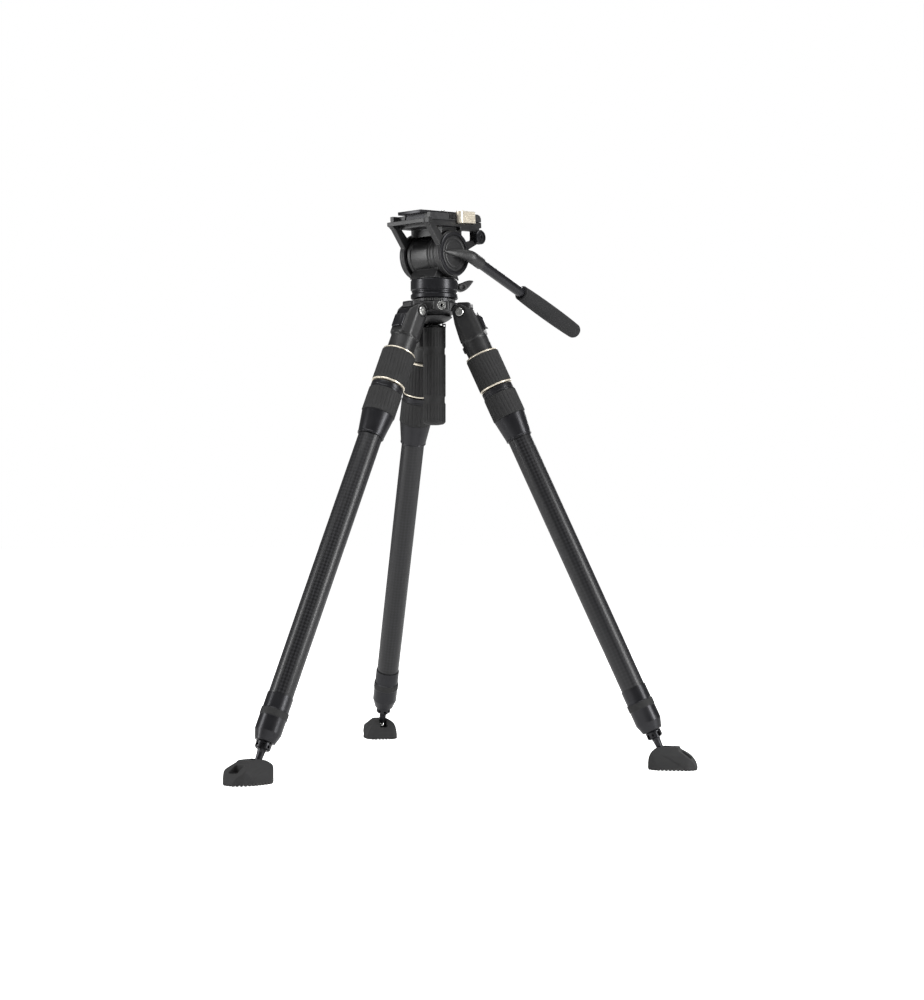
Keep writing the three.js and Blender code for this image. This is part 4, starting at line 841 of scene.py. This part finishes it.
# ---------------------------------------------------------------- tilt unit
# The counterbalance and fluid damper's housing stands on the drum. Two round cheeks turn on its
# trunnions and carry V-shaped arms up to the platform rails. All cast and powder coated.
tilting = axes(point("tilt"), -axis("tilt"), axis("tilt").cross(axis("plate_slide")))
upright = axes(point("tilt"), -axis("tilt"), Vector((0, 0, 1)))
barrel = turned([(0, -43), (10, -43), (10, -33.5), (33, -33.5), (34, -32.5), (34, -26.5), (32.2, -24.5),
    (32.2, 12), (33.2, 13.5), (33.2, 17), (32.2, 18.5), (32.2, 24.5), (34, 26.5), (34, 32.5), (33, 33.5),
    (10, 33.5), (10, 43), (0, 43)], 128, 0.5)
moved(barrel, turn(90, "Y"))
foot = slab([(-32, -41.7), (32, -41.7), (30, -37), (23, -25.7), (-23, -25.7), (-30, -37)], -28, 28)

# A near-black gloss sleeve over the middle of the housing barrel: painted shade, a dark band laid where the
# recessed middle of the barrel falls in shade.
shade_sleeve_finish, tree, shader = new_finish("painted_shade_black_gloss", "#060607", 0.0, 0.3)
speckled(tree, shader, ("#040405", "#0a0a0b"), 0.5, 14, (0.26, 0.4), 0.002)
shade_band = turned([(30.4, -22.6), (32.5, -22.6), (32.7, -22.2), (32.7, 10.2), (32.5, 10.6), (30.4, 10.6)], 128,
    0.3)
piece("tilt_barrel_painted_shade_sleeve", moved(shade_band, turn(90, "Y")), upright, shade_sleeve_finish, "pan_unit")
collar = turned([(0, -41.7), (33, -41.7), (33.6, -40.6), (31, -37), (0, -37)], 96, 0.5)
piece("tilt_housing_casting", softened(carved(barrel, [foot, collar]), 0.8, 4), upright, powder_coat,
    "pan_unit", ["tilt_housing"])

CHEEK_IN, CHEEK_OUT = 33.8, 43.8
CAP_FACE = 44.1
RAIL_LOW, RAIL_TOP = 46, 55.5
LEVER_POCKET = ((41, 62.3), (9.2, 57.5), (51.2, 72.5))
cheeks, openings = [], []
for side in (1, -1):
    inner, outer = sorted((CHEEK_IN * side, CHEEK_OUT * side))
    disc = turned([(0, 0), (38, 0), (39.3, 1.2), (39.3, 3.6), (38.7, 4.2), (38.7, 5.2), (39.3, 5.8),
        (39.3, 8.6), (37.9, 10), (0, 10)], 128, 0.4)
    cheeks.append(moved(disc, shift(inner if side > 0 else outer) @ turn(90 * side, "Y")))
    front_arm = rounded([(-66, 50), (-60, RAIL_LOW), (-36, 14), (-24, 27), (-52, RAIL_TOP), (-66, RAIL_TOP)],
        2)
    rear_arm = rounded([(28, 3), (64.5, 18.5), (70.5, 22), (71.5, RAIL_LOW), (70.5, RAIL_TOP),
        (56.5, RAIL_TOP), (54.5, 25), (24, 17)], 2)
    cheeks += [slab(front_arm, inner, outer), slab(rear_arm, inner, outer),
               box((inner, outer), (-62, 75), (RAIL_LOW, RAIL_TOP)), box((inner, outer), (20, 58), (40, 47))]
    openings.append(rod(10.6, inner - 1, outer + 1, "x"))
    openings.append(slab(rounded([(61.5, 40), (65.5, 40), (65.5, 49), (61.5, 49)], 1), inner - 1,
        inner + 2.5))
cheeks += [box((-46, 46), (-66, -59), (50.5, 57.5)), box((-CHEEK_OUT, CHEEK_OUT), (-46, 57.5),
    (RAIL_LOW, RAIL_TOP)), box((38.5, 47.5), (-67, -58.4), (49.5, 58.6)),
    box((-34.5, 34.5), (-18, 34), (32, 47))]
openings += [rod(35, -CHEEK_IN, CHEEK_IN, "x"), box(*LEVER_POCKET)]
platform = carved(box((-CHEEK_OUT, CHEEK_OUT), (65, 77), (RAIL_LOW, RAIL_TOP)), cheeks, openings)
piece("tilt_cradle_casting", softened(platform, 0.75, 4), tilting, powder_coat, "cradle", ["cradle"])

right_cap = turned([(30.6, 0), (37.3, 0), (37.3, 1.6), (36.2, 3), (32.6, 3), (32, 2.2), (30.6, 2.2)], 128,
    0.3)
piece("tilt_cap_ring", moved(right_cap, shift(CAP_FACE) @ turn(90, "Y")), tilting, anodised, "cradle",
      ["tilt_cap_right"])
left_cap = turned([(0, 0), (37.3, 0), (37.3, 1.6), (36.2, 3), (29.4, 3), (28.6, 1.8), (22, 1.8), (21.4, 1.4),
    (12, 1.4), (11.2, 2.2), (0, 2.4)], 128, 0.3)
piece("tilt_cap_disc", moved(left_cap, shift(-CAP_FACE) @ turn(-90, "Y")), tilting, anodised, "cradle",
      ["tilt_cap_left"])

# Tilt lock: a small knob with stepped rings and a fluted edge.
knob = turned([(0, 0), (11.6, 0), (12.25, 0.8)] + [(12.25, 0.8 + 0.95 * i) for i in range(1, 7)] + [
    (12.25, 7.6), (11, 9), (8.6, 9), (8.2, 7.4), (6.4, 7.4), (6, 8.2), (3, 8.2), (2.6, 6.4), (0, 6.4)],
    20 * PER_RIB, 0)
knob = grown(knob, rib_tree, {"Rib Count": 20, "Rib Depth": 0.7, "Rib Slant": 0.0, "Lowest": 1.2,
    "Highest": 7, "Skin Radius": 12, "Sharpness": 3.0, "Finish": anodised})
piece("tilt_lock_wheel", moved(knob, shift(CAP_FACE, 64.5, 29.5) @ turn(90, "Y")), tilting, anodised,
    "tilt_lock", ["tilt_lock_knob"])

# ---------------------------------------------------------------- receiver and camera plate
# The receiver is milled from bar with a dovetail channel and a round-backed stop block. The
# plate slides in it and carries the camera screw. A champagne lever clamps the plate.
body = box((-45, 45), (-58, 57.2), (55.8, 67.2))
stop_block = slab(rounded([(56, 55.8), (75, 55.8), (75, 62), (72.5, 66.6), (66, 68.8), (56, 68.8)], 2), -45,
    45)
channel = slab([(-24.3, 58.5), (24.3, 58.5), (20.3, 68.5), (-20.3, 68.5)], -70, 57.5, "y")
chin = box((-38, 38), (-62, -46), (54, 67.6))
flutes = [box((41.5, 47), (5.6 - 3.8 * i, 7.6 - 3.8 * i), (57.5, 70)) for i in range(5)]
receiver = edged(carved(body, [stop_block], [channel, chin, box(*LEVER_POCKET)]), 0.9)
receiver = carved(receiver, cuts=flutes)
piece("plate_receiver", receiver, tilting, powder_coat, "cradle", ["receiver"])

PLATE_TOP = 73
SCREW_Y = 28
plate = edged(box((-25, 25), (-61, 44), (67.5, PLATE_TOP)), 0.9)
dove = slab([(-24, 58.8), (24, 58.8), (20, 68), (-20, 68)], -44, 44, "y")
plate = carved(plate, [dove], [rod(3.4, 0, 90, "z", (0, SCREW_Y)), rod(8.3, 0, 67.5, "z", (0, SCREW_Y)),
    slab(rounded([(-3.4, -40), (3.4, -40), (3.4, 8), (-3.4, 8)], 3.3, 6), 50, 90, "z")])
piece("camera_plate_body", plate, tilting, anodised, "plate", ["camera_plate"])
# Two ribbed rubber strips let into the plate's top keep the camera from turning.
strips = []
for x in (-19, 19):
    strips.append(box((x - 3.2, x + 3.2), (-56, 40), (PLATE_TOP - 0.8, PLATE_TOP + 0.25)))
    strips += [box((x - 3, x + 3), (y, y + 0.9), (PLATE_TOP - 0.5,
        PLATE_TOP + 0.7)) for y in range(-55, 39, 2)]
piece("camera_plate_strips", merged(strips), tilting, ribbed_rubber, "plate")

screw_thread = [(3.1 - (0.35 if i % 2 else 0), 76.4 - 0.32 * i) for i in range(33)]
screw = turned([(0, 61.7), (7.4, 61.7), (8, 62.3), (8, 65.1), (7.4, 65.7),
    (3.1, 65.7)] + screw_thread[::-1] + [(2.5, 77), (0, 77)], 64, 0)
screw = carved(screw, cuts=[box((-10, 10), (-0.9, 0.9), (60, 63.2))])
piece("camera_screw_thread", moved(screw, shift(0, SCREW_Y, 1.5)), tilting, stainless, "screw",
    ["camera_screw"])

hub = turned([(0, 50), (5.9, 50), (6.5, 50.6), (6.5, 70.4), (5.9, 71), (0, 71)], 64, 0.3)
moved(hub, shift(47.8, 16, 1.5))
lever_grip = edged(slab(rounded([(41.8, 16), (49.8, 16), (49.8, 52), (48.2, 56.2), (45, 56.2), (41.8, 53)],
    1.2), 52.7, 72.3, "z"), 0.7)
ridges = [rod(1.1, 27, 60, "y", (50.2, 56.5 + 4 * i), sides=20) for i in range(4)]
release = carved(hub, [carved(lever_grip, cuts=ridges)])
piece("plate_release_lever", release, tilting, champagne, "plate_lever", ["release_lever"])

# ---------------------------------------------------------------- pan bar
# A cast arm on the right cheek swells from a thin blade into a socket. The aluminium bar is
# pushed into it and clamped, and a moulded foam grip covers the bar's far end.
BAR_DROP = 23.6
BAR_ASIDE, BAR_OVER, BAR_R = 60, 4.6, 8.8
bar = tilting @ turn(-BAR_DROP, "X") @ shift(0, 0, BAR_OVER)
arm_disc = turned([(0, 0), (29, 0), (30, 0.8), (30, 1.3), (26, 1.7), (25.4, 1.2), (23, 1.2), (22.4, 1.7),
    (0, 2)], 128, 0.3)
moved(arm_disc, shift(CAP_FACE, 0, -BAR_OVER) @ turn(90, "Y"))


def lofted(sections):
    """A body through soft-cornered sections: each one's Y, centre in X and Z, half width and half height."""
    sides, power = 48, 2.4
    vertices, faces = [], []
    for y, x, z, half_x, half_z in sections:
        for k in range(sides):
            c, d = math.cos(2 * math.pi * k / sides), math.sin(2 * math.pi * k / sides)
            vertices.append((x + half_x * math.copysign(abs(c) ** (2 / power), c), y,
                             z + half_z * math.copysign(abs(d) ** (2 / power), d)))
    for i in range(len(sections) - 1):
        for k in range(sides):
            k_next = (k + 1) % sides
            faces.append([i * sides + k, i * sides + k_next, (i + 1) * sides + k_next, (i + 1) * sides + k])
    faces += [list(range(sides)), list(range((len(sections) - 1) * sides, len(sections) * sides))]
    return shape(vertices, faces)


blade = lofted([(-26.6, 46, -12.6, 1.4, 1.9), (-25, 46.2, -12.3, 2, 2.5), (-15, 47.8, -9.4, 3.2, 4.6),
    (-5, 49.8, -6.2, 4.8, 6.4), (5, 52.8, -3.2, 6.8, 8), (14, 56, -1.2, 8.6, 9.2), (21, 58.6, -0.3, 9.6, 9.8),
    (27, 59.8, 0, 10, 10), (34, 60, 0, 10, 10)])
blade = carved(blade, cuts=[box((30, 44.2), (-40, 60), (-20, 20))])
swell = rod(10.4, 26, 54, "y", (BAR_ASIDE, 0), soften=1.4)
arm = softened(carved(arm_disc, [blade, swell], [rod(9.1, 35.7, 90, "y", (BAR_ASIDE, 0))]), 0.6, 5)
piece("pan_arm_casting", arm, bar, powder_coat, "pan_handle", ["pan_arm"])
bar_line = [(0, 36)] + [(BAR_R, z) for z in (36, 60, 100, 140, 329)] + [(0, 329)]
bar_tube = moved(turned(bar_line, 96, 0.4), shift(BAR_ASIDE) @ turn(-90, "X"))
piece("pan_bar_tube", bar_tube, bar, anodised, "pan_handle", ["pan_bar"])

# Foam: closed-cell, matt and slightly pocked, swelling in the middle of the grip.
foam, tree, shader = new_finish("closed_cell_foam_rubber", "#262627", 0.0, 0.86)
speckled(tree, shader, ("#1d1d1e", "#272728"), 1.3, 16, (0.78, 0.92), 0.06)
shader.inputs["Specular IOR Level"].default_value = 0.3
grip_line = [(9.1, 171), (12.6, 171), (13.4, 172), (13.5, 174.5), (12.9, 175.5), (12.9, 177), (13.5, 178)]
grip_line += [(13.5 + 1.5 * math.sin(math.pi * t / 20) ** 0.7, 178 + 152 * t / 20) for t in range(1, 20)]
grip_line += [(13.5, 331), (13.2, 335), (11.4, 338.6), (7.5, 340.6), (0, 341), (0, 329.4), (9.1, 329.4)]
soft = moved(turned(grip_line, 96, 0.6), shift(BAR_ASIDE) @ turn(-90, "X"))
piece("pan_bar_foam_grip", soft, bar, foam, "pan_handle", ["pan_grip"])
